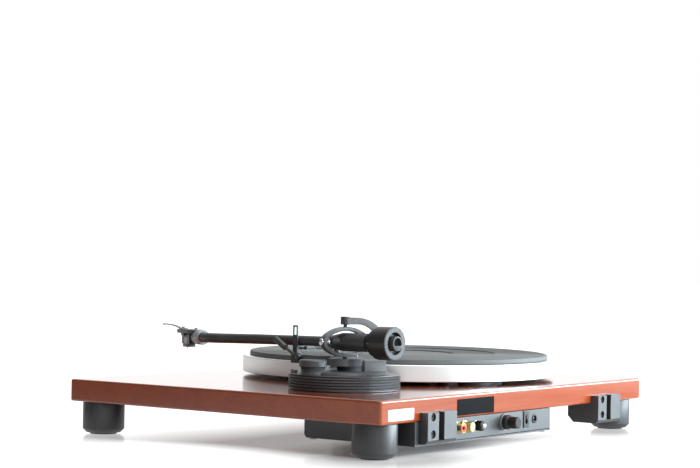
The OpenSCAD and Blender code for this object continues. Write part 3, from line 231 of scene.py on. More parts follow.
GREY = (0.10, 0.10, 0.105)
PAINTED = {"worn": GREY}
METAL = {"metal": 1.0}
HALF_METAL = {"metal": 0.25}
GRAINED = (
    ("foot_plastic", (0.022, 0.024, 0.026), (0.015, 0.016, 0.017), 0.43, {"depth": 0.01, "shine": 0.75}),
    ("pad_rubber", (0.022, 0.022, 0.022), (0.012, 0.012, 0.012), 0.8, {"grain": 900}),
    ("screw_steel", (0.42, 0.42, 0.43), (0.3, 0.3, 0.31), 0.34, METAL),
    ("screw_black", (0.020, 0.020, 0.021), (0.012, 0.012, 0.013), 0.45, {}),
    ("shaft_steel", (0.74, 0.74, 0.75), (0.60, 0.60, 0.62), 0.2, METAL),
    ("bearing_brass", (0.60, 0.45, 0.19), (0.46, 0.33, 0.13), 0.3, METAL),
    # The motor's dark finish is partly its own paint and partly painted shade for the gap under the platter.
    ("motor_metal", (0.06, 0.06, 0.062), (0.04, 0.04, 0.042), 0.5, {}),
    ("belt_rubber", (0.02, 0.02, 0.02), (0.011, 0.011, 0.012), 0.65, {}),
    ("tray_plastic", (0.026, 0.028, 0.030), (0.018, 0.020, 0.022), 0.44,
     {"grain": 1100, "depth": 0.03, "shine": 1.0}),
    ("board_green", (0.03, 0.17, 0.06), (0.018, 0.11, 0.04), 0.35, {}),
    ("part_plastic", (0.024, 0.024, 0.026), (0.016, 0.016, 0.018), 0.42, {}),
    ("jack_gold", (0.52, 0.38, 0.15), (0.40, 0.28, 0.10), 0.28, METAL),
    ("insert_red", (0.60, 0.055, 0.045), (0.48, 0.035, 0.03), 0.3, {}),
    ("insert_white", (0.82, 0.81, 0.78), (0.72, 0.71, 0.68), 0.3, {}),
    ("knob_plastic", (0.017, 0.017, 0.019), (0.010, 0.010, 0.011), 0.5, {"shine": 0.35}),
    ("ring_metal", (0.118, 0.124, 0.130), (0.092, 0.097, 0.102), 0.36,
     {**PAINTED, "grain": 1800, "shine": 1.0}),
    ("base_metal", (0.072, 0.076, 0.079), (0.057, 0.060, 0.063), 0.40, {**PAINTED, "shine": 0.45}),
    ("gimbal_metal", (0.19, 0.195, 0.20), (0.145, 0.15, 0.155), 0.38, HALF_METAL),
    ("arch_metal", (0.36, 0.365, 0.37), (0.29, 0.295, 0.30), 0.36, HALF_METAL),
    ("collar_metal", (0.46, 0.465, 0.46), (0.36, 0.365, 0.36), 0.4, {"metal": 0.3}),
    ("arm_metal", (0.062, 0.062, 0.060), (0.048, 0.048, 0.047), 0.45, {}),
    ("dial_plastic", (0.02, 0.02, 0.021), (0.013, 0.013, 0.014), 0.4, {}),
    ("head_metal", (0.05, 0.05, 0.052), (0.034, 0.034, 0.036), 0.36, PAINTED),
    ("lift_metal", (0.22, 0.225, 0.225), (0.165, 0.17, 0.17), 0.42, {"metal": 0.6}),
    ("cartridge_plastic", (0.022, 0.022, 0.025), (0.014, 0.014, 0.016), 0.34, {}),
    ("stylus_plastic", (0.09, 0.09, 0.1), (0.06, 0.06, 0.066), 0.4, {}),
    ("print_white", (0.66, 0.66, 0.64), (0.56, 0.56, 0.54), 0.5, {}),
    ("label_black", (0.008, 0.008, 0.009), (0.006, 0.006, 0.007), 0.6,
     {"grain": 700, "depth": 0.01, "shine": 0.04}),
    ("label_paper", (0.80, 0.79, 0.76), (0.74, 0.73, 0.70), 0.55, {"grain": 900}),
    # The next finish is near black: painted shade in the stub's bore and along the tray's seam.
    ("hollow_black", (0.006, 0.006, 0.006), (0.004, 0.004, 0.004), 0.85, {"grain": 700, "shine": 0.1}),
    # The next finish is dark: painted shade under the platter and in the grooves of the height ring.
    ("cast_dark", (0.022, 0.022, 0.023), (0.014, 0.014, 0.015), 0.75, {"grain": 700, "depth": 0.05}),
    ("lead_pale", (0.55, 0.55, 0.53), (0.45, 0.45, 0.43), 0.5, {}),
    ("lead_grey", (0.22, 0.22, 0.23), (0.16, 0.16, 0.17), 0.5, {}),
    ("panel_pale", (0.72, 0.72, 0.70), (0.64, 0.64, 0.62), 0.45, {}),
    ("lead_sheath", (0.035, 0.03, 0.03), (0.02, 0.018, 0.018), 0.5, {}),
)
finishes = {name: grained(name, light, dark, rough, **more) for name, light, dark, rough, more in GRAINED}
print("grained finishes:", len(finishes))

# %% [markdown]
# ## Turned metal and rubber rings
# The platter, the counterweight, the stub and the speed knob come off a lathe. The tool leaves rings
# that catch the light, so the pattern is noise read by distance from the axis and by height, and never
# by angle. The mat is pressed in a mould that was turned, so it has rings as well, only softer.

# %% Turned finishes
def turned(name, light, dark, rough, centre, turn=(0, 0, 0), scale=1600, depth=0.012, metal=1.0):
    f = Finish(name, Metallic=metal, Anisotropic=0.4 if metal else 0.0)
    line = f.rings(centre, turn, scale)
    cloud = f.noise(f.place(), 30, 3)
    f.feed("Base Color", f.mix(f.ramp(line * 0.6 + cloud * 0.4, 0.32, 0.68), dark, light))
    f.feed("Roughness", (line - 0.5) * 0.2 + (cloud - 0.5) * 0.08 + rough)
    f.feed("Normal", f.relief(line, depth))
    return f.material


SPINDLE = (-57.5, -12.3)
SPEED_AT = (-165, -157.5)
PIVOT = Vector((134.0, 63.5, 90.4))
REST, DROOP, OFFSET = 4.5, 0.9, 22.0
ALONG_ARM = (DROOP - 90, 0, -REST)
TURNED = (
    ("platter_metal", (0.82, 0.82, 0.81), (0.77, 0.77, 0.77), 0.32, (*SPINDLE, 0), {"depth": 0.004}),
    ("mat_rubber", (0.145, 0.150, 0.147), (0.098, 0.102, 0.100), 0.6, (*SPINDLE, 0),
     {"scale": 700, "depth": 0.06, "metal": 0.0}),
    ("knob_metal", (0.66, 0.66, 0.67), (0.52, 0.52, 0.53), 0.32, (*SPEED_AT, 0), {}),
    ("stub_metal", (0.36, 0.37, 0.38), (0.28, 0.29, 0.30), 0.5, PIVOT, {"turn": ALONG_ARM, "metal": 0.3}),
    ("face_metal", (0.062, 0.063, 0.064), (0.048, 0.049, 0.050), 0.5, PIVOT,
     {"turn": ALONG_ARM, "metal": 0.0}),
    ("weight_metal", (0.030, 0.029, 0.027), (0.021, 0.020, 0.019), 0.38, PIVOT,
     {"turn": ALONG_ARM, "metal": 0.0}),
)
for name, light, dark, rough, centre, more in TURNED:
    finishes[name] = turned(name, light, dark, rough, centre, **more)
print("turned finishes:", [row[0] for row in TURNED])

# %% [markdown]
# ## The lacquered board
# A veneer under clear gloss. A picture of wood could be laid on it, but noise has no seams at the
# edges. The grain runs the length of the board, so noise is stretched hard along X: a slow one for the
# figure, finer ones for the lines and the pores. The lacquer is the shader's coat, smooth over the
# slightly rough wood below.

# %% Board finish
def lacquer(name, light, dark, pore):
    f = Finish(name, Coat_Weight=1.0, Coat_Roughness=0.1, Coat_IOR=1.42, Specular_IOR_Level=0.3)
    figure = f.noise(f.place(stretch=(0.6, 9, 9)), 7, 6, 0.62, 0.8)
    line = f.noise(f.place(stretch=(1.5, 60, 60)), 12, 4, 0.6, 0.2)
    hole = f.noise(f.place(stretch=(6, 260, 260)), 9, 2, 0.5)
    tone = f.mix(f.ramp(figure * 0.65 + line * 0.35, 0.33, 0.67), dark, light)
    f.feed("Base Color", f.mix(f.ramp(hole, 0.62, 0.78, (0.0, 0.35)), tone, pore))
    f.feed("Roughness", f.ramp(line, 0.2, 0.8, (0.16, 0.26)))
    return f.material


finishes["lacquered_board"] = lacquer("lacquered_board", light=(0.42, 0.078, 0.018),
                                      dark=(0.32, 0.050, 0.011), pore=(0.16, 0.023, 0.007))
missing = sorted(set(slot_of.values()) - set(finishes))
print("board finish made; slots without a finish:", missing)

# %% [markdown]
# ## Softening the edges
# A real edge is never perfectly sharp: it is broken by a fraction of a millimetre and that narrow
# band catches the light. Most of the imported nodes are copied, their triangles are joined back into
# flat faces, and the Bevel modifier rounds every edge that turns by more than thirty degrees. On the
# pieces with broad faces the normals are then weighted by area, so that a large face stays truly flat.

# %% Helpers that make pieces
def add(name, mesh, node=None, body=None, finish=None, slot=None, stands_for=()):
    """A finished piece with its material, from the finish or else the slot, its body and the nodes it hides.
    """
    obj = bpy.data.objects.new(name, mesh)
    bpy.context.scene.collection.objects.link(obj)
    mesh.name = name
    mesh.materials.clear()
    mesh.materials.append(finishes[finish or slot or slot_of[node]])
    if body or node:
        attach(obj, body or body_of[node])
    if stands_for:
        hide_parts(*stands_for)
    return obj


def baked(work):
    """The mesh of an object after its modifiers, as a plain mesh; the object itself goes."""
    bpy.context.scene.collection.objects.link(work)
    bpy.context.view_layer.update()
    depsgraph = bpy.context.evaluated_depsgraph_get()
    result = bpy.data.meshes.new_from_object(work.evaluated_get(depsgraph))
    bpy.data.objects.remove(work)
    return result


def settled(mesh, modifiers):
    """The mesh after a list of modifiers."""
    work = bpy.data.objects.new("work", mesh)
    for kind, values in modifiers:
        made = work.modifiers.new(kind, kind)
        for key, value in values.items():
            setattr(made, key, value)
    return baked(work)


WELD = 2e-6
FLAT_ANGLE = math.radians(0.6)
EDGE_ANGLE = math.radians(30)
EVEN = ("WEIGHTED_NORMAL", {"keep_sharp": True, "weight": 50})


def softened(node, width, flat=False, finish=None):
    mesh = frame["nodes"][node].data.copy()
    bm = bmesh.new()
    bm.from_mesh(mesh)
    bmesh.ops.remove_doubles(bm, verts=bm.verts, dist=WELD)
    bmesh.ops.dissolve_limit(bm, angle_limit=FLAT_ANGLE, verts=bm.verts, edges=bm.edges)
    for face in bm.faces:
        face.smooth = True
    bm.to_mesh(mesh)
    bm.free()
    bevel = ("BEVEL", {"width": width * MM, "segments": 2, "limit_method": "ANGLE",
                       "angle_limit": EDGE_ANGLE, "harden_normals": True, "use_clamp_overlap": True})
    result = settled(mesh, [bevel, EVEN] if flat else [bevel])
    add(node + "_soft", result, node, finish=finish, stands_for=[node])


print("piece tools ready")

# %% Softened pieces
soft_widths = {
    "plinth": 0.02, "tray": 0.5, "tray_cover": 0.4, "socket_left": 0.5, "socket_right": 0.5, "feet": 0.6,
    "foot_pads": 0.3, "arm_base": 0.35, "gimbal_arch": 0.8, "top_pivot": 0.35, "arm_rest": 0.3,
    "cue_lever": 0.4, "lift_bar": 0.4, "headshell": 0.4, "finger_lift": 0.25, "cartridge": 0.4,
    "stylus": 0.2, "selector_switch": 0.25, "power_switch": 0.2, "power_button": 0.25, "power_inlet": 0.2,
    "jack_shells": 0.2, "jack_insert_right": 0.2, "jack_insert_left": 0.2, "ground_terminal": 0.25,
    "rear_stub": 0.25, "tilt_pins": 0.25, "speed_switch": 0.4, "arm_housing": 0.5, "arm_tube": 0.1,
    "spindle": 0.2, "motor_body": 0.6, "bearing_housing": 0.3, "motor_pulley": 0.2, "tray_screws": 0.2,
    "foot_screws": 0.2, "socket_screws": 0.2,
}
broad = {"plinth", "tray", "tray_cover", "socket_left", "socket_right", "power_switch", "headshell",
         "cartridge"}
# The socket screws are black and the bearing housing takes the dark motor finish: painted shade in the
# screws' recesses and in the gap under the platter.
special = {"socket_screws": "screw_black", "bearing_housing": "motor_metal", "gimbal_arch": "arch_metal",
           "lift_bar": "base_metal", "rear_stub": "face_metal"}
for node, width in soft_widths.items():
    softened(node, width, flat=node in broad, finish=special.get(node))
print("softened", len(soft_widths), "pieces")

# %% [markdown]
# ## Turning on the lathe
# Platter, mat, weight, dials and knobs are all profiles spun round an axis. Blender has a Screw
# modifier for that, but here the rings are laid by hand, because then poles close on one point and
# each corner of the profile can carry its own radius. A matrix puts the finished piece on its axis.

# %% Frames on the arm
def turn(axis, degrees):
    return Matrix.Rotation(math.radians(degrees), 4, axis)


def shift(x, y, z):
    return Matrix.Translation((x, y, z))


def swung(centre, radius, degrees, z=0):
    """A place on a circle round a centre."""
    a = math.radians(degrees)
    return shift(centre[0] + radius * math.cos(a), centre[1] + radius * math.sin(a), z)


def bent(at, radius, angle, side):
    """The far end of a bend in a tube that runs along -Y."""
    a = math.radians(angle)
    step = shift(side * radius * (1 - math.cos(a)), -radius * math.sin(a), 0)
    return at @ step @ turn("Z", side * angle)


ARM = Matrix.Translation(PIVOT) @ turn("Z", -REST) @ turn("X", DROOP)
HOOP = Matrix.Translation(PIVOT) @ turn("Z", -REST - OFFSET)
ALONG_Y = turn("X", -90)
STRAIGHT, MIDDLE = 97, 34
ELBOW = bent(ARM @ shift(0, -STRAIGHT, 0), radius=60, angle=12, side=1)
HEAD = bent(ELBOW @ shift(0, -MIDDLE, 0), radius=42, angle=38, side=-1)
print("head frame at", [round(v, 1) for v in HEAD.translation])


# %% The lathe
TINY = 1e-6
SHARP_ANGLE = math.radians(32)


def filleted(corners, steps=4):
    """Corners (r, z, fillet) of a closed profile, with each fillet written out as an arc."""
    out = []
    for i, (r, z, fillet) in enumerate(corners):
        here = Vector((r, z))
        back = Vector(corners[i - 1][:2]) - here
        on = Vector(corners[(i + 1) % len(corners)][:2]) - here
        if fillet <= 0 or back.length < TINY or on.length < TINY:
            out.append((r, z))
            continue
        half = back.angle(on) / 2
        reach = min(fillet / math.tan(half), 0.49 * back.length, 0.49 * on.length)
        radius = reach * math.tan(half)
        middle = here + (back.normalized() + on.normalized()).normalized() * (radius / math.sin(half))
        a = here + back.normalized() * reach - middle
        b = here + on.normalized() * reach - middle
        sweep = a.angle_signed(b)
        for k in range(steps + 1):
            c = math.cos(-sweep * k / steps)
            s = math.sin(-sweep * k / steps)
            out.append((middle.x + c * a.x - s * a.y, middle.y + s * a.x + c * a.y))
    return out


def placed(bm, at):
    """A mesh in metres from a bmesh in mm, moved by a matrix in mm."""
    bmesh.ops.transform(bm, matrix=Matrix.Scale(MM, 4) @ at, verts=bm.verts)
    for face in bm.faces:
        face.smooth = True
    mesh = bpy.data.meshes.new("piece")
    bm.to_mesh(mesh)
    bm.free()
    mesh.set_sharp_from_angle(angle=SHARP_ANGLE)
    return settled(mesh, [EVEN])


def lathe(corners, at, around=128, steps=4):
    """A closed profile of (r, z, fillet) corners spun round Z, then put in its place by a matrix in mm."""
    bm = bmesh.new()
    angles = [2 * math.pi * k / around for k in range(around)]
    rings = []
    for r, z in filleted(corners, steps):
        if r < TINY:
            rings.append([bm.verts.new((0, 0, z))])
        else:
            rings.append([bm.verts.new((r * math.cos(a), r * math.sin(a), z)) for a in angles])
    for one, two in zip(rings, rings[1:] + rings[:1]):
        if len(one) == 1 and len(two) == 1:
            continue
        for k in range(around):
            j = k + 1
            quad = [one[k % len(one)], one[j % len(one)], two[j % len(two)], two[k % len(two)]]
            bm.faces.new(list(dict.fromkeys(quad)))
    bmesh.ops.remove_doubles(bm, verts=bm.verts, dist=1e-5)
    bmesh.ops.recalc_face_normals(bm, faces=bm.faces)
    return placed(bm, at)


print("lathe ready")

# %% [markdown]
# ## Platter and mat
# The platter is a casting: a thin plate, a heavy outer rim, two rims below and a hub. Its underside is
# rough and dark, and that dark is painted shade for the gap under the platter; only the top and the
# outer wall are turned bright, so it is two pieces. The mat is thick rubber with broad grooves, and
# between them low ribs that carry the record. A bump could draw the ribs, but light that comes in low
# shows real ones better, so they are in the profile.

# %% Platter and mat
CENTRE = shift(*SPINDLE, 0)
BORE, UNDER_R, SHELL_IN, SHELL_R = 5.05, 150.4, 150.45, 151.8
WEB, UNDER_TOP, SHELL_LOW, SHELL_TOP = 64.5, 67.3, 67.35, 68.5
# The underside's dark finish is painted shade for the gap under the platter.
under = [(BORE, 58.3, 0.2), (18, 58.3, 0.8), (18, WEB, 1.0)]
for inner, outer, foot in ((46, 49, 56), (86, 92, 54)):
    under += [(inner, WEB, 1.0), (inner, foot, 0.5), (outer, foot, 0.5), (outer, WEB, 1.0)]
under += [(134, WEB, 1.5), (134, 53, 0.6), (UNDER_R, 53, 0.1), (UNDER_R, UNDER_TOP, 0), (BORE, UNDER_TOP, 0)]
add("platter_under", lathe(under, CENTRE, around=256), "platter", finish="cast_dark", stands_for=["platter"])
shell = [(BORE, SHELL_LOW, 0), (SHELL_IN, SHELL_LOW, 0), (SHELL_IN, 53.2, 0.1), (SHELL_R, 53.2, 0.8),
         (SHELL_R, SHELL_TOP, 0.8), (BORE, SHELL_TOP, 0.2)]
add("platter_shell", lathe(shell, CENTRE, around=256), "platter")

MAT_HOLE, MAT_R, MAT_FOOT, MAT_TOP = 5.4, 145, 68.55, 73.25
RIB_PITCH, RIB_DEPTH = 3.2, 0.3
ribs = [(MAT_HOLE, MAT_FOOT, 0.2), (MAT_R, MAT_FOOT, 1.0), (MAT_R, MAT_TOP, 1.6)]
for outer, inner, level in ((142.4, 95.2, MAT_TOP), (93.0, 54.4, 72.45)):
    count = round((outer - inner) / RIB_PITCH)
    gap = (outer - inner) / count
    low = level - RIB_DEPTH
    for k in range(count):
        r = outer - gap * k
        ribs += [(r - 0.55 * gap, level, 0.1), (r - 0.65 * gap, low, 0.0)]
        ribs += [(r - 0.9 * gap, low, 0.0), (r - gap, level, 0.1)]
    ribs += [(inner - 1.0, level, 0.15), (inner - 1.2, level - 0.8, 0.1)]
ribs += [(MAT_HOLE, 71.65, 0.2)]
add("mat_ribbed", lathe(ribs, CENTRE, around=192, steps=2), "mat", stands_for=["mat"])
print("mat profile has", len(ribs), "corners")

# %% [markdown]
# ## Teeth, flutes and ticks
# Array modifiers could repeat a tooth, but each would need a helper to turn it. So what repeats round
# an axis is left to one Geometry Nodes tree: a circle of points, a copy of one tooth on each, turned to
# face outward, and as many storeys of that circle as are asked for. The tooth is the mesh of the object
# that carries the modifier.

# %% The tree that repeats a tooth
def round_tree():
    tree = bpy.data.node_groups.new("repeat_round", "GeometryNodeTree")
    inputs = {"Geometry": "Geometry", "Count": "Int", "Radius": "Float", "Storeys": "Int", "Pitch": "Float",
              "Material": "Material"}
    for name, kind in inputs.items():
        tree.interface.new_socket(name, in_out="INPUT", socket_type="NodeSocket" + kind)
    tree.interface.new_socket("Geometry", in_out="OUTPUT", socket_type="NodeSocketGeometry")
    new, link = tree.nodes.new, tree.links.new
    given = new("NodeGroupInput")
    circle = new("GeometryNodeMeshCircle")
    line = new("GeometryNodeMeshLine")
    where = new("GeometryNodeInputPosition")
    face = new("FunctionNodeAlignRotationToVector")
    ring = new("GeometryNodeInstanceOnPoints")
    stack = new("GeometryNodeInstanceOnPoints")
    offset = new("ShaderNodeCombineXYZ")
    real = new("GeometryNodeRealizeInstances")
    paint = new("GeometryNodeSetMaterial")
    out = new("NodeGroupOutput")
    face.axis, face.pivot_axis = "X", "Z"
    link(given.outputs["Count"], circle.inputs["Vertices"])
    link(given.outputs["Radius"], circle.inputs["Radius"])
    link(where.outputs[0], face.inputs["Vector"])
    link(circle.outputs[0], ring.inputs["Points"])
    link(given.outputs["Geometry"], ring.inputs["Instance"])
    link(face.outputs[0], ring.inputs["Rotation"])
    link(given.outputs["Storeys"], line.inputs["Count"])
    link(given.outputs["Pitch"], offset.inputs[2])
    link(offset.outputs[0], line.inputs["Offset"])
    link(line.outputs[0], stack.inputs["Points"])
    link(ring.outputs[0], stack.inputs["Instance"])
    link(stack.outputs[0], real.inputs[0])
    link(real.outputs[0], paint.inputs["Geometry"])
    link(given.outputs["Material"], paint.inputs["Material"])
    link(paint.outputs[0], out.inputs[0])
    return tree


ROUND = round_tree()
print("tree of", len(ROUND.nodes), "nodes made")


# %% Teeth and strokes
def repeat_round(name, tooth, count, radius, at, node, storeys=1, pitch=0.0, finish=None, slot=None):
    """Teeth round an axis: tooth is a bmesh in mm that points along +X."""
    mesh = bpy.data.meshes.new(name)
    tooth.to_mesh(mesh)
    tooth.free()
    work = bpy.data.objects.new(name + "_work", mesh)
    made = work.modifiers.new("repeat", "NODES")
    made.node_group = ROUND
    values = {"Count": count, "Radius": float(radius), "Storeys": storeys, "Pitch": float(pitch),
              "Material": finishes[finish or slot or slot_of[node]]}
    for socket in ROUND.interface.items_tree:
        if socket.in_out == "INPUT" and socket.name in values:
            made[socket.identifier] = values[socket.name]
    result = baked(work)
    result.transform(Matrix.Scale(MM, 4) @ at)
    print(name, "has", len(result.polygons), "faces")
    add(name, result, node, finish=finish, slot=slot)


def ridge(depth, width, height, crown=0.3):
    """A tooth with a narrow crown: the inner face is wide, the outer face narrow, the ends slope in."""
    bm = bmesh.new()
    bmesh.ops.create_cube(bm, size=1)
    for v in bm.verts:
        out = v.co.x > 0
        v.co = Vector((depth if out else -0.25, v.co.y * width * (crown if out else 1.0),
                       v.co.z * height * (0.8 if out else 1.0)))
    return bm


def stroke(x0, x1, wide, z0, z1):
    """A thin box of ink, centred on Y."""
    bm = bmesh.new()
    bmesh.ops.create_cube(bm, size=1)
    for v in bm.verts:
        v.co = Vector((x1 if v.co.x > 0 else x0, v.co.y * wide, z1 if v.co.z > 0 else z0))
    return bm


print("teeth and strokes ready")

# %% [markdown]
# ## The height ring
# A ring with five grooves round it, and the ribs beside them are cut into fine teeth for the fingers.
# The teeth could be a bump, but they stand on the outline of the ring, so they are real: the lathe
# turns the body with its grooves, a dark ring of painted shade lies in them, and the tree sets the
# teeth on the ribs.

# %% Height ring
COLUMN = shift(PIVOT.x, PIVOT.y, 0)
RING_BORE, RING_FOOT, RING_TOP = 33.05, 49.8, 63.0
RIB_R, GROOVE_R, GROOVE_SHADE_R, TOOTH_R = 48.1, 47.1, 47.85, 48.04
GROOVES, TEETH = 5, 180
step = (RING_TOP - RING_FOOT) / (GROOVES + 0.5)
grooved = [(RING_BORE, 52.8, 0.2), (37.3, 52.8, 0.2), (37.3, RING_FOOT, 0.2), (RIB_R, RING_FOOT, 0.5)]
for k in range(GROOVES):
    z = RING_FOOT + step * (k + 1.1)
    grooved += [(RIB_R, z - 0.58, 0.15), (GROOVE_R, z - 0.42, 0.1)]
    grooved += [(GROOVE_R, z + 0.42, 0.1), (RIB_R, z + 0.58, 0.15)]
grooved += [(RIB_R, RING_TOP, 0.2), (RING_BORE, RING_TOP, 0.3)]
add("height_ring_ribs", lathe(grooved, COLUMN, around=192, steps=2), "height_ring",
    stands_for=["height_ring"])
# A dark ring inside the grooves is painted shade in them.
groove_shade = [(40, 50.4, 0), (GROOVE_SHADE_R, 50.4, 0.1), (GROOVE_SHADE_R, 62.6, 0.1), (40, 62.6, 0)]
add("height_ring_groove_shade", lathe(groove_shade, COLUMN, around=192), "height_ring", finish="cast_dark")
repeat_round("height_ring_teeth", ridge(depth=0.88, width=1.0, height=step * 0.5), count=TEETH,
             radius=TOOTH_R, at=COLUMN @ shift(0, 0, RING_FOOT + step * 0.6), node="height_ring",
             storeys=GROOVES, pitch=step)
stud = [(0, 62.5, 0), (3, 62.5, 0.1), (3, 66, 0.8), (0, 66, 0)]
add("height_ring_stud", lathe(stud, COLUMN @ turn("Z", -54) @ shift(44, 0, 0), around=48), "height_ring")

# %% [markdown]
# ## Weight, force dial and stub
# The weight is painted on its round side and greyer on its rear face, so the face is a piece of its
# own, a thin ring let into the end, and a black disc inside the stub is painted shade for the depth of
# its bore. The dial in front of the weight has ticks round its edge. One mesh with several materials
# would look the same, but the weight and the dial each turn round the stub, so the pieces ride on
# three bodies.

# %% Counterweight and force dial
SPUN = ARM @ ALONG_Y
weight = [(8.6, 38.8, 0.3), (14.4, 38.8, 0.8), (14.4, 56.2, 0.5), (13.9, 56.2, 0.1), (13.9, 55.6, 0.1),
          (9.9, 55.6, 0.1), (9.5, 56.0, 0.1), (9.5, 52.5, 0.3), (8.6, 52.5, 0.2)]
add("weight_body", lathe(weight, SPUN, around=160), "counterweight", stands_for=["counterweight"])
face_ring = [(9.6, 55.65, 0.05), (13.85, 55.65, 0.05), (13.85, 56.5, 0.35), (9.6, 56.5, 0.35)]
add("weight_face", lathe(face_ring, SPUN, around=160), body="counterweight", finish="face_metal",
    slot="stub_metal")
dial = [(8.6, 33.9, 0.2), (11.6, 33.9, 0.4), (12, 34.9, 0.3), (12, 38.5, 0.3), (8.6, 38.5, 0.2)]
add("force_dial_ring", lathe(dial, SPUN, around=128), "force_dial", stands_for=["force_dial"])
# A black disc in the stub is painted shade for the depth of its bore.
hole_shade = [(0, 54.6, 0), (4.7, 54.6, 0.2), (4.7, 57.6, 0.2), (0, 57.6, 0)]
add("stub_hole_shade", lathe(hole_shade, SPUN, around=64), body="arm", finish="hollow_black", slot="part_plastic")
repeat_round("force_dial_ticks", stroke(-0.1, 0.03, 0.25, -0.55, 0.55), count=30, radius=11.97,
             at=SPUN @ shift(0, 0, 37.8), node="force_dial", finish="print_white", slot="insert_white")

# %% [markdown]
# ## The gimbal hoop
# The hoop is an oval of four arcs with a rounded section. A torus scaled to an oval would have an
# uneven wall. Walking round the arcs by the direction of the outward normal keeps it even: every arc
# keeps its centre and only its radius shrinks.

# %% Gimbal hoop
def hoop(half_a, half_b, end_r, wall, depth, fillet, at, around=144):
    c = half_a - end_r
    big = (c * c + half_b * half_b - end_r * end_r) / (2 * (half_b - end_r))
    change = math.atan2(big - half_b, c)
    half = depth / 2
    section = filleted([(0, -half, fillet), (0, half, fillet), (wall, half, fillet), (wall, -half, fillet)])
    bm = bmesh.new()
    loops = []
    for k in range(around):
        a = 2 * math.pi * k / around
        cos, sin = math.cos(a), math.sin(a)
        if abs(sin) < math.sin(change):
            x, y, r = math.copysign(c, cos), 0.0, end_r
        else:
            x, y, r = 0.0, -math.copysign(big - half_b, sin), big
        loops.append([bm.verts.new((x + (r - inset) * cos, y + (r - inset) * sin, z))
                      for inset, z in section])
    for one, two in zip(loops, loops[1:] + loops[:1]):
        for k in range(len(section)):
            j = (k + 1) % len(section)
            bm.faces.new((one[k], one[j], two[j], two[k]))
    bmesh.ops.recalc_face_normals(bm, faces=bm.faces)
    return placed(bm, at)


oval = hoop(half_a=22.5, half_b=13.3, end_r=9, wall=3.4, depth=8, fillet=0.9, at=HOOP @ turn("X", 90))
add("gimbal_hoop_oval", oval, "gimbal_hoop", stands_for=["gimbal_hoop"])
print("hoop made")

# %% [markdown]
# ## Collar, knobs and dials
# The collar that locks the head is turned with rings for grip. The knobs are turned too. Their flutes
# could be cut out of them one by one, but a small tooth for each land between two flutes is quicker to
# set, so they come from the same tree as the ring's teeth.

# %% Collar and anti-skate dial
collar = [(4.5, -12, 0.2), (6.6, -12, 0.3)]
for k in range(5):
    y = -11 + 2.0 * k
    collar += [(7, y, 0.25), (7, y + 1.3, 0.25), (6.5, y + 1.5, 0.1), (6.5, y + 1.8, 0.1)]
collar += [(6.6, -0.5, 0.3), (4.5, -0.5, 0.2)]
add("lock_collar_rings", lathe(collar, HEAD @ ALONG_Y, around=96), "lock_collar", finish="collar_metal",
    stands_for=["lock_collar"])

SKATE = swung(PIVOT, radius=37, degrees=-11)
cap = [(0, 70, 0), (12, 70, 0.3), (12, 75.1, 0.2), (11.2, 75.9, 0.3), (9.6, 75.9, 0.15), (9.4, 75.7, 0.1),
       (0, 75.7, 0)]
add("antiskate_cap", lathe(cap, SKATE, around=128), "antiskate_dial", stands_for=["antiskate_dial"])
repeat_round("antiskate_flutes", ridge(depth=0.25, width=0.8, height=3.6, crown=0.5), count=90,
             radius=11.72, at=SKATE @ shift(0, 0, 72.7), node="antiskate_dial")
repeat_round("antiskate_ticks", stroke(-0.6, 0.6, 0.3, -0.1, 0.03), count=24, radius=10.4,
             at=SKATE @ shift(0, 0, 75.87), node="antiskate_dial", finish="print_white",
             slot="insert_white")

# %% Knobs and ground nut
SPEED = shift(*SPEED_AT, 0)
knob = [(3.05, 49.8, 0.2), (13.6, 49.8, 0.4), (13.6, 59.2, 0.6), (12.6, 60.5, 0.5), (10.6, 60.5, 0.2),
        (10.2, 60.1, 0.2), (0, 60.1, 0), (0, 57.7, 0), (3.05, 57.7, 0.1)]
add("speed_knob_turned", lathe(knob, SPEED, around=128), "speed_knob", stands_for=["speed_knob"])
repeat_round("speed_knob_flutes", ridge(depth=0.38, width=0.8, height=7.6, crown=0.4), count=96,
             radius=13.58, at=SPEED @ shift(0, 0, 54.4), node="speed_knob")

REAR = 166.0
PANEL_LEVEL = 21.5
SELECT = shift(34.5, REAR, PANEL_LEVEL) @ ALONG_Y
knob = [(3.05, 1.4, 0.2), (6.4, 1.4, 0.4), (6.4, 5.4, 0.8), (5.0, 6.4, 0.5), (5.0, 15, 0.7), (0, 15, 0),
        (0, 12.2, 0), (3.05, 12.2, 0.1)]
add("selector_knob_turned", lathe(knob, SELECT, around=96), "selector_knob", stands_for=["selector_knob"])
repeat_round("selector_knob_flutes", ridge(depth=0.2, width=0.7, height=7.2, crown=0.5), count=40,
             radius=4.98, at=SELECT @ shift(0, 0, 10.4), node="selector_knob")
washer = [(4.2, 0.02, 0.05), (7.45, 0.02, 0.2), (7.45, 1.3, 0.3), (4.2, 1.3, 0.1)]
add("selector_washer", lathe(washer, SELECT, around=96), body="base", finish="lead_grey", slot="insert_white")

GROUND = shift(83.5, REAR, PANEL_LEVEL) @ ALONG_Y
nut = [(2.05, 2.0, 0.1), (3.6, 2.0, 0.2), (4.15, 2.4, 0.2), (4.15, 9.1, 0.4), (3.2, 9.5, 0.2),
       (2.05, 9.5, 0.1)]
add("ground_nut_turned", lathe(nut, GROUND, around=96), "ground_nut", stands_for=["ground_nut"])
repeat_round("ground_nut_knurl", ridge(depth=0.24, width=0.55, height=5.8, crown=0.4), count=44,
             radius=4.13, at=GROUND @ shift(0, 0, 5.8), node="ground_nut")
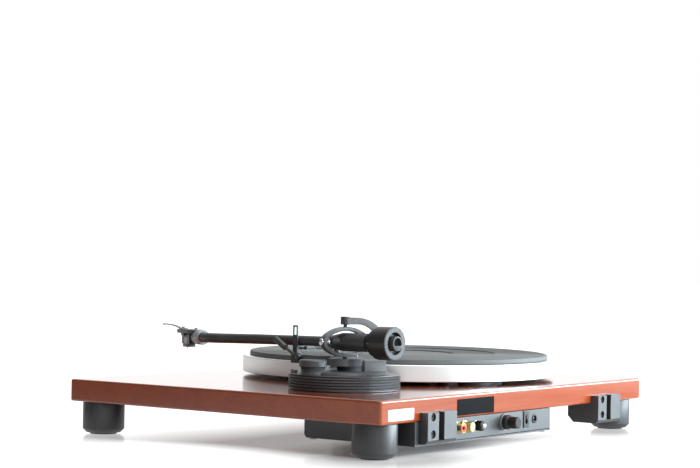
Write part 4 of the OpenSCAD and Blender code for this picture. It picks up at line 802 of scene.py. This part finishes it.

# %% [markdown]
# ## Labels and prints
# The rear edge of the board carries a dark plate and a paper label, and a thin black strip of painted
# shade marks the seam between the tray and its cover. The few signs are plain ones: letters at the
# jacks, ON and OFF at the switch, speeds at the knob, and numbers on the dials. A picture could hold
# them all, but thin plates and letters have real edges at any distance. Text is made a mesh first and
# is then laid on its surface.

# %% Plates
def plate(name, span, thick, radius, at, body, finish, slot):
    """A thin plate with rounded corners: span is x0, x1, z0, z1 on a face that a matrix puts in place."""
    x0, x1, z0, z1 = span
    bm = bmesh.new()
    corners = [(x0, z0, radius), (x1, z0, radius), (x1, z1, radius), (x0, z1, radius)]
    face = bm.faces.new([bm.verts.new((x, 0, z)) for x, z in filleted(corners, 5)])
    lifted = bmesh.ops.extrude_face_region(bm, geom=[face])
    for v in lifted["geom"]:
        if isinstance(v, bmesh.types.BMVert):
            v.co.y += thick
    rim = [e for e in bm.edges if all(v.co.y > 0.5 * thick for v in e.verts)]
    bmesh.ops.bevel(bm, geom=rim, offset=0.4 * thick, segments=2, affect="EDGES")
    bmesh.ops.recalc_face_normals(bm, faces=bm.faces)
    add(name, placed(bm, at), body=body, finish=finish, slot=slot)


on_edge = shift(0, REAR, 0)
plate("rear_plate", (52, 111, 31.2, 45.2), thick=0.4, radius=1.2, at=on_edge, body="base",
      finish="label_black", slot="part_plastic")
# A thin black strip is painted shade along the seam between the tray and its cover.
plate("tray_seam_shade", (-45.4, 122, 10.45, 11.15), thick=0.03, radius=0.1, at=on_edge, body="base",
      finish="hollow_black", slot="part_plastic")
plate("rear_label", (176, 213, 32.2, 41.6), thick=0.12, radius=0.8, at=on_edge, body="base",
      finish="label_paper", slot="insert_white")
print("plates made")


# %% Prints
INK = 0.03


def sign(name, words, height, at, body="base"):
    """Words in thin ink, centred on a place whose x runs along the line and whose z leaves the surface."""
    font = bpy.data.curves.new(name, "FONT")
    font.body = words
    font.size = height * 1.4
    font.align_x, font.align_y = "CENTER", "CENTER"
    font.extrude = INK
    font.resolution_u = 4
    mesh = baked(bpy.data.objects.new(name + "_work", font))
    mesh.transform(Matrix.Scale(MM, 4) @ at)
    add(name, mesh, body=body, finish="print_white", slot="insert_white")


def on_rear(x, z):
    return shift(x, REAR + 0.01, z) @ turn("Z", 180) @ turn("X", 90)


for name, words, x, z, size in (("sign_r", "R", 114.3, 28.0, 1.5), ("sign_l", "L", 100.3, 28.0, 1.5),
                                ("sign_on", "ON", -3.0, 28.4, 0.9), ("sign_off", "OFF", -3.0, 13.2, 0.9)):
    sign(name, words, size, on_rear(x, z))
for name, words, angle in (("speed_33", "33", 140), ("speed_0", "0", 90), ("speed_45", "45", 40)):
    sign(name, words, 3.2, swung(SPEED_AT, radius=19, degrees=angle, z=49.51))
upright = turn("Z", 90) @ turn("X", 90) @ turn("Z", 180)
for k in range(4):
    on_cap = SKATE @ turn("Z", 90 - 60 * k) @ shift(7.8, 0, 75.71) @ turn("Z", -90)
    sign(f"antiskate_{k}", str(k), 1.9, on_cap, "antiskate_dial")
    on_dial = SPUN @ turn("Z", 72 * k) @ shift(11.99, 0, 35.9) @ upright
    sign(f"force_{k}", str(k), 1.6, on_dial, "force_dial")
print("prints made")

# %% [markdown]
# ## Leads in the head
# Four thin leads run from the back of the headshell to the pins of the cartridge, which has a pale
# panel on its side. A curve object with a round bevel could give the same form. Here each lead is swept
# along a short sagging curve, so that it is a plain closed mesh from the start, with a sleeve at the pin.

# %% Swept tubes
def swept(points, radius, at, around=10):
    """A closed tube along points in mm."""
    bm = bmesh.new()
    angles = [2 * math.pi * j / around for j in range(around)]
    loops = []
    for k, p in enumerate(points):
        ahead = (points[min(k + 1, len(points) - 1)] - points[max(k - 1, 0)]).normalized()
        side = ahead.cross(Vector((0.1, 0.2, 1))).normalized()
        up = side.cross(ahead)
        loops.append([bm.verts.new(p + radius * (math.cos(a) * side + math.sin(a) * up)) for a in angles])
    for one, two in zip(loops, loops[1:]):
        for k in range(around):
            j = (k + 1) % around
            bm.faces.new((one[k], one[j], two[j], two[k]))
    bm.faces.new(loops[0])
    bm.faces.new(list(reversed(loops[-1])))
    bmesh.ops.recalc_face_normals(bm, faces=bm.faces)
    return placed(bm, at)


def curve(a, b, c, d, steps=14):
    """Points on the cubic from a to d that leaves towards b and comes in from c."""
    out = []
    for k in range(steps + 1):
        t = k / steps
        out.append((1 - t) ** 3 * a + 3 * (1 - t) ** 2 * t * b + 3 * (1 - t) * t * t * c + t ** 3 * d)
    return out


print("tube tools ready")

# %% Head leads
CART_BACK = -24.0
on_side = HEAD @ shift(6, 0, 0) @ turn("Z", -90)
plate("cartridge_panel", (31.0, 38.6, -6.5, -1.2), thick=0.15, radius=0.6, at=on_side, body="arm",
      finish="panel_pale", slot="insert_white")
sheaths = ("lead_pale", "lead_sheath", "lead_sheath", "lead_grey")
for k, (x, z) in enumerate(((-2.6, -1.0), (2.6, -1.0), (-2.6, -4.4), (2.6, -4.4))):
    start = Vector((x * 0.5, -16.8, 1.2 + 0.25 * z))
    pin = Vector((x, CART_BACK - 0.2, z))
    leaving = start + Vector((0.4 * x, -2.2, -0.6))
    coming = pin + Vector((0, 3.4, -1.0))
    run = curve(start, leaving, coming, pin + Vector((0, 1.8, 0)))
    lead = swept(run, radius=0.5, at=HEAD)
    add(f"head_lead_{k}", lead, body="arm", finish=sheaths[k], slot="part_plastic")
    sleeve = [pin + Vector((0, y, 0)) for y in (-0.6, 0.5, 1.2, 2.2)]
    add(f"head_pin_{k}", swept(sleeve, radius=0.7, at=HEAD), body="arm", slot="jack_gold")
print("head leads made")

# %% [markdown]
# ## Wires at the pivot
# Two fine pale wires leave the plate of the column and hang in a loop to the lower side of the hoop.
# They are laid where they hang and are not tied to any body.

# %% Pivot wires
at_column = Matrix.Translation(PIVOT) @ turn("Z", 126)
for k, (side, sag) in enumerate(((3.2, 2.6), (-3.0, 1.4))):
    low = at_column @ Vector((10.5, side, -14.4))
    high = at_column @ Vector((1.5, 1.2 * side, -9.8))
    out = (at_column @ Vector((1, 0, 0)) - PIVOT) * 3.0
    leaving = low + Vector((0, 0, 3.0 + sag)) + out
    coming = high + out * 2.0 + Vector((0, 0, 0.5 * sag))
    tube = swept(curve(low, leaving, coming, high), radius=0.4, at=Matrix.Identity(4))
    wire = add(f"pivot_wire_{k}", tube, finish="insert_white", slot="part_plastic")
    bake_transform(wire)
print("pivot wires made")

# %% [markdown]
# ## The nodes that stay
# Parts inside, such as the belt, the circuit board and the sleeve under the arm, keep the meshes of
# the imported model, because their shapes are right already. Every node takes the finish of its slot
# and is shaded smooth, and only an edge that turns by a good angle stays sharp.

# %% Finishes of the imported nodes
NODE_SHARP = math.radians(28)
for node, obj in frame["nodes"].items():
    obj.data.materials.clear()
    obj.data.materials.append(finishes[slot_of[node]])
    obj.data.shade_smooth()
    obj.data.set_sharp_from_angle(angle=NODE_SHARP)
print("finishes on", len(frame["nodes"]), "nodes")

# %% [markdown]
# ## Light and floor
# A white studio: a broad cool lamp behind the rear edge does most of the work, so the rear face is
# bright and the right-hand side stays in shade. The world is white to the lens, white in reflections
# except towards the front right, where the room is darker, and dim as a source. The floor is glossy
# paper. Near the rear corner it takes the shadow, and it turns to plain white further off, so that no
# horizon shows.

# %% World
scene = bpy.context.scene
scene.view_settings.view_transform = "Standard"
DARK_SIDE = (0.6, -0.8, 0.0)
FALL_FROM, FALL_TO = 0.1, 0.8
BRIGHT, DIM = 1.15, 0.2
SOFT_SHARE = 0.27
world = bpy.data.worlds.new("studio")
scene.world = world
world.use_nodes = True
tree = world.node_tree
tree.nodes.clear()
new, link = tree.nodes.new, tree.links.new
look = new("ShaderNodeTexCoord")
away = new("ShaderNodeVectorMath")
away.operation = "DOT_PRODUCT"
away.inputs[1].default_value = DARK_SIDE
fall = new("ShaderNodeMapRange")
for k, value in enumerate((FALL_FROM, FALL_TO, BRIGHT, DIM), 1):
    fall.inputs[k].default_value = value
share = new("ShaderNodeMath")
share.operation = "MULTIPLY"
share.inputs[1].default_value = SOFT_SHARE
soft, mirror, white = (new("ShaderNodeBackground") for _ in range(3))
for shade, colour in ((soft, (0.94, 0.97, 1, 1)), (mirror, (1, 1, 1, 1)), (white, (1, 1, 1, 1))):
    shade.inputs["Color"].default_value = colour
paths = new("ShaderNodeLightPath")
clear = new("ShaderNodeMath")
clear.operation = "MAXIMUM"
shine, plain = new("ShaderNodeMixShader"), new("ShaderNodeMixShader")
out = new("ShaderNodeOutputWorld")
link(look.outputs["Generated"], away.inputs[0])
link(away.outputs["Value"], fall.inputs[0])
link(fall.outputs[0], share.inputs[0])
link(share.outputs[0], soft.inputs["Strength"])
link(fall.outputs[0], mirror.inputs["Strength"])
link(paths.outputs["Is Camera Ray"], clear.inputs[0])
link(paths.outputs["Is Transmission Ray"], clear.inputs[1])
for k, socket in enumerate((paths.outputs["Is Glossy Ray"], soft.outputs[0], mirror.outputs[0])):
    link(socket, shine.inputs[k])
for k, socket in enumerate((clear.outputs[0], shine.outputs[0], white.outputs[0])):
    link(socket, plain.inputs[k])
link(plain.outputs[0], out.inputs[0])
print("world of", len(tree.nodes), "nodes made")


# %% Lamps
def lamp(name, place, target, size, power, colour=(1, 1, 1)):
    light = bpy.data.lights.new(name, "AREA")
    light.shape = "RECTANGLE"
    light.size, light.size_y = size
    light.energy = power
    light.color = colour
    obj = bpy.data.objects.new(name, light)
    obj.location = place
    obj.rotation_euler = (Vector(target) - Vector(place)).to_track_quat("-Z", "Y").to_euler()
    scene.collection.objects.link(obj)


lamp("window", place=(-1.3, 1.9, 0.55), target=(0.0, 0.0, 0.06), size=(2.8, 1.1), power=146,
     colour=(0.77, 0.91, 1.0))
lamp("ceiling", place=(-0.5, 0.5, 2.2), target=(0.0, 0.0, 0.0), size=(1.4, 1.4), power=26)

# %% Floor finish
paper = Finish("floor_paper", Roughness=0.5)
cloud = paper.noise(paper.place(), 6, 3)
paper.feed("Base Color", paper.mix(cloud, (0.86, 0.86, 0.87), (0.9, 0.9, 0.9)))


def floor_axes(centre=(0, 0)):
    """X and Y on the floor, in metres from a place in mm."""
    at = paper.place((*centre, 0))
    return [paper.node("ShaderNodeSeparateXYZ", None, {0: at}, i) for i in range(2)]


def away_from(x, y):
    return (x * x + y * y) ** 0.5


lens, through, mirrored = (paper.node("ShaderNodeLightPath", out=name)
                           for name in ("Is Camera Ray", "Is Transmission Ray", "Is Glossy Ray"))
x, y = floor_axes()
SHADOW = (0.24, 1.0)
plain = paper.ramp(y, -0.03, -0.165, SHADOW)
for axis, dark, pale in ((x, 0.195, 0.256), (y, 0.125, 0.180), (x, 0.0, -0.12)):
    plain = plain.sum("MAXIMUM", paper.ramp(axis, dark, pale, SHADOW))
# In reflections the floor glows less near two places: a painted darkening of what the board and the arm
# reflect.
reflection_dimming = paper.ramp(away_from(*floor_axes((720, -650))), 0.1, 0.5, (0.1, 0.9))
reflection_dimming = reflection_dimming * paper.ramp(away_from(*floor_axes((-560, 450))), 0.03, 0.3, (0.1, 1.0))
FOOT = (190.5, 144.5)
near_foot = away_from(abs(x) - FOOT[0] * MM, abs(y) - FOOT[1] * MM)
corner = paper.ramp(x, 0.20, 0.235, (0.9, 0.0)) * paper.ramp(x, -0.17, -0.09)
corner = corner * paper.ramp(y, 0.145, 0.17, (1.0, 0.0)) * paper.ramp(y, 0.03, 0.075)
wet = paper.ramp(near_foot, 0.045, 0.12, (0.6, 0.0)).sum("MAXIMUM", corner)
light_out = (lens + through) * 1.3 + mirrored * reflection_dimming
glow = paper.node("ShaderNodeEmission", None, {"Color": light_out, "Strength": 1.0})
gloss = paper.node("ShaderNodeBsdfAnisotropic", None, {"Color": (1, 1, 1), "Roughness": 0.14})
sheet = paper.node("ShaderNodeMixShader", None, {0: lens * wet, 1: glow, 2: gloss})
matt = Wire(paper, paper.shader.outputs[0])
lit = paper.node("ShaderNodeMixShader", None, {0: plain * (lens + through + mirrored), 1: matt, 2: sheet})
paper.put(paper.tree.nodes["Material Output"].inputs[0], lit)
print("floor finish of", len(paper.tree.nodes), "nodes made")

# %% Floor
bm = bmesh.new()
bmesh.ops.create_grid(bm, x_segments=2, y_segments=2, size=12)
floor_mesh = bpy.data.meshes.new("floor")
bm.to_mesh(floor_mesh)
bm.free()
floor_mesh.materials.append(paper.material)
floor = bpy.data.objects.new("floor", floor_mesh)
scene.collection.objects.link(floor)
print("floor laid")
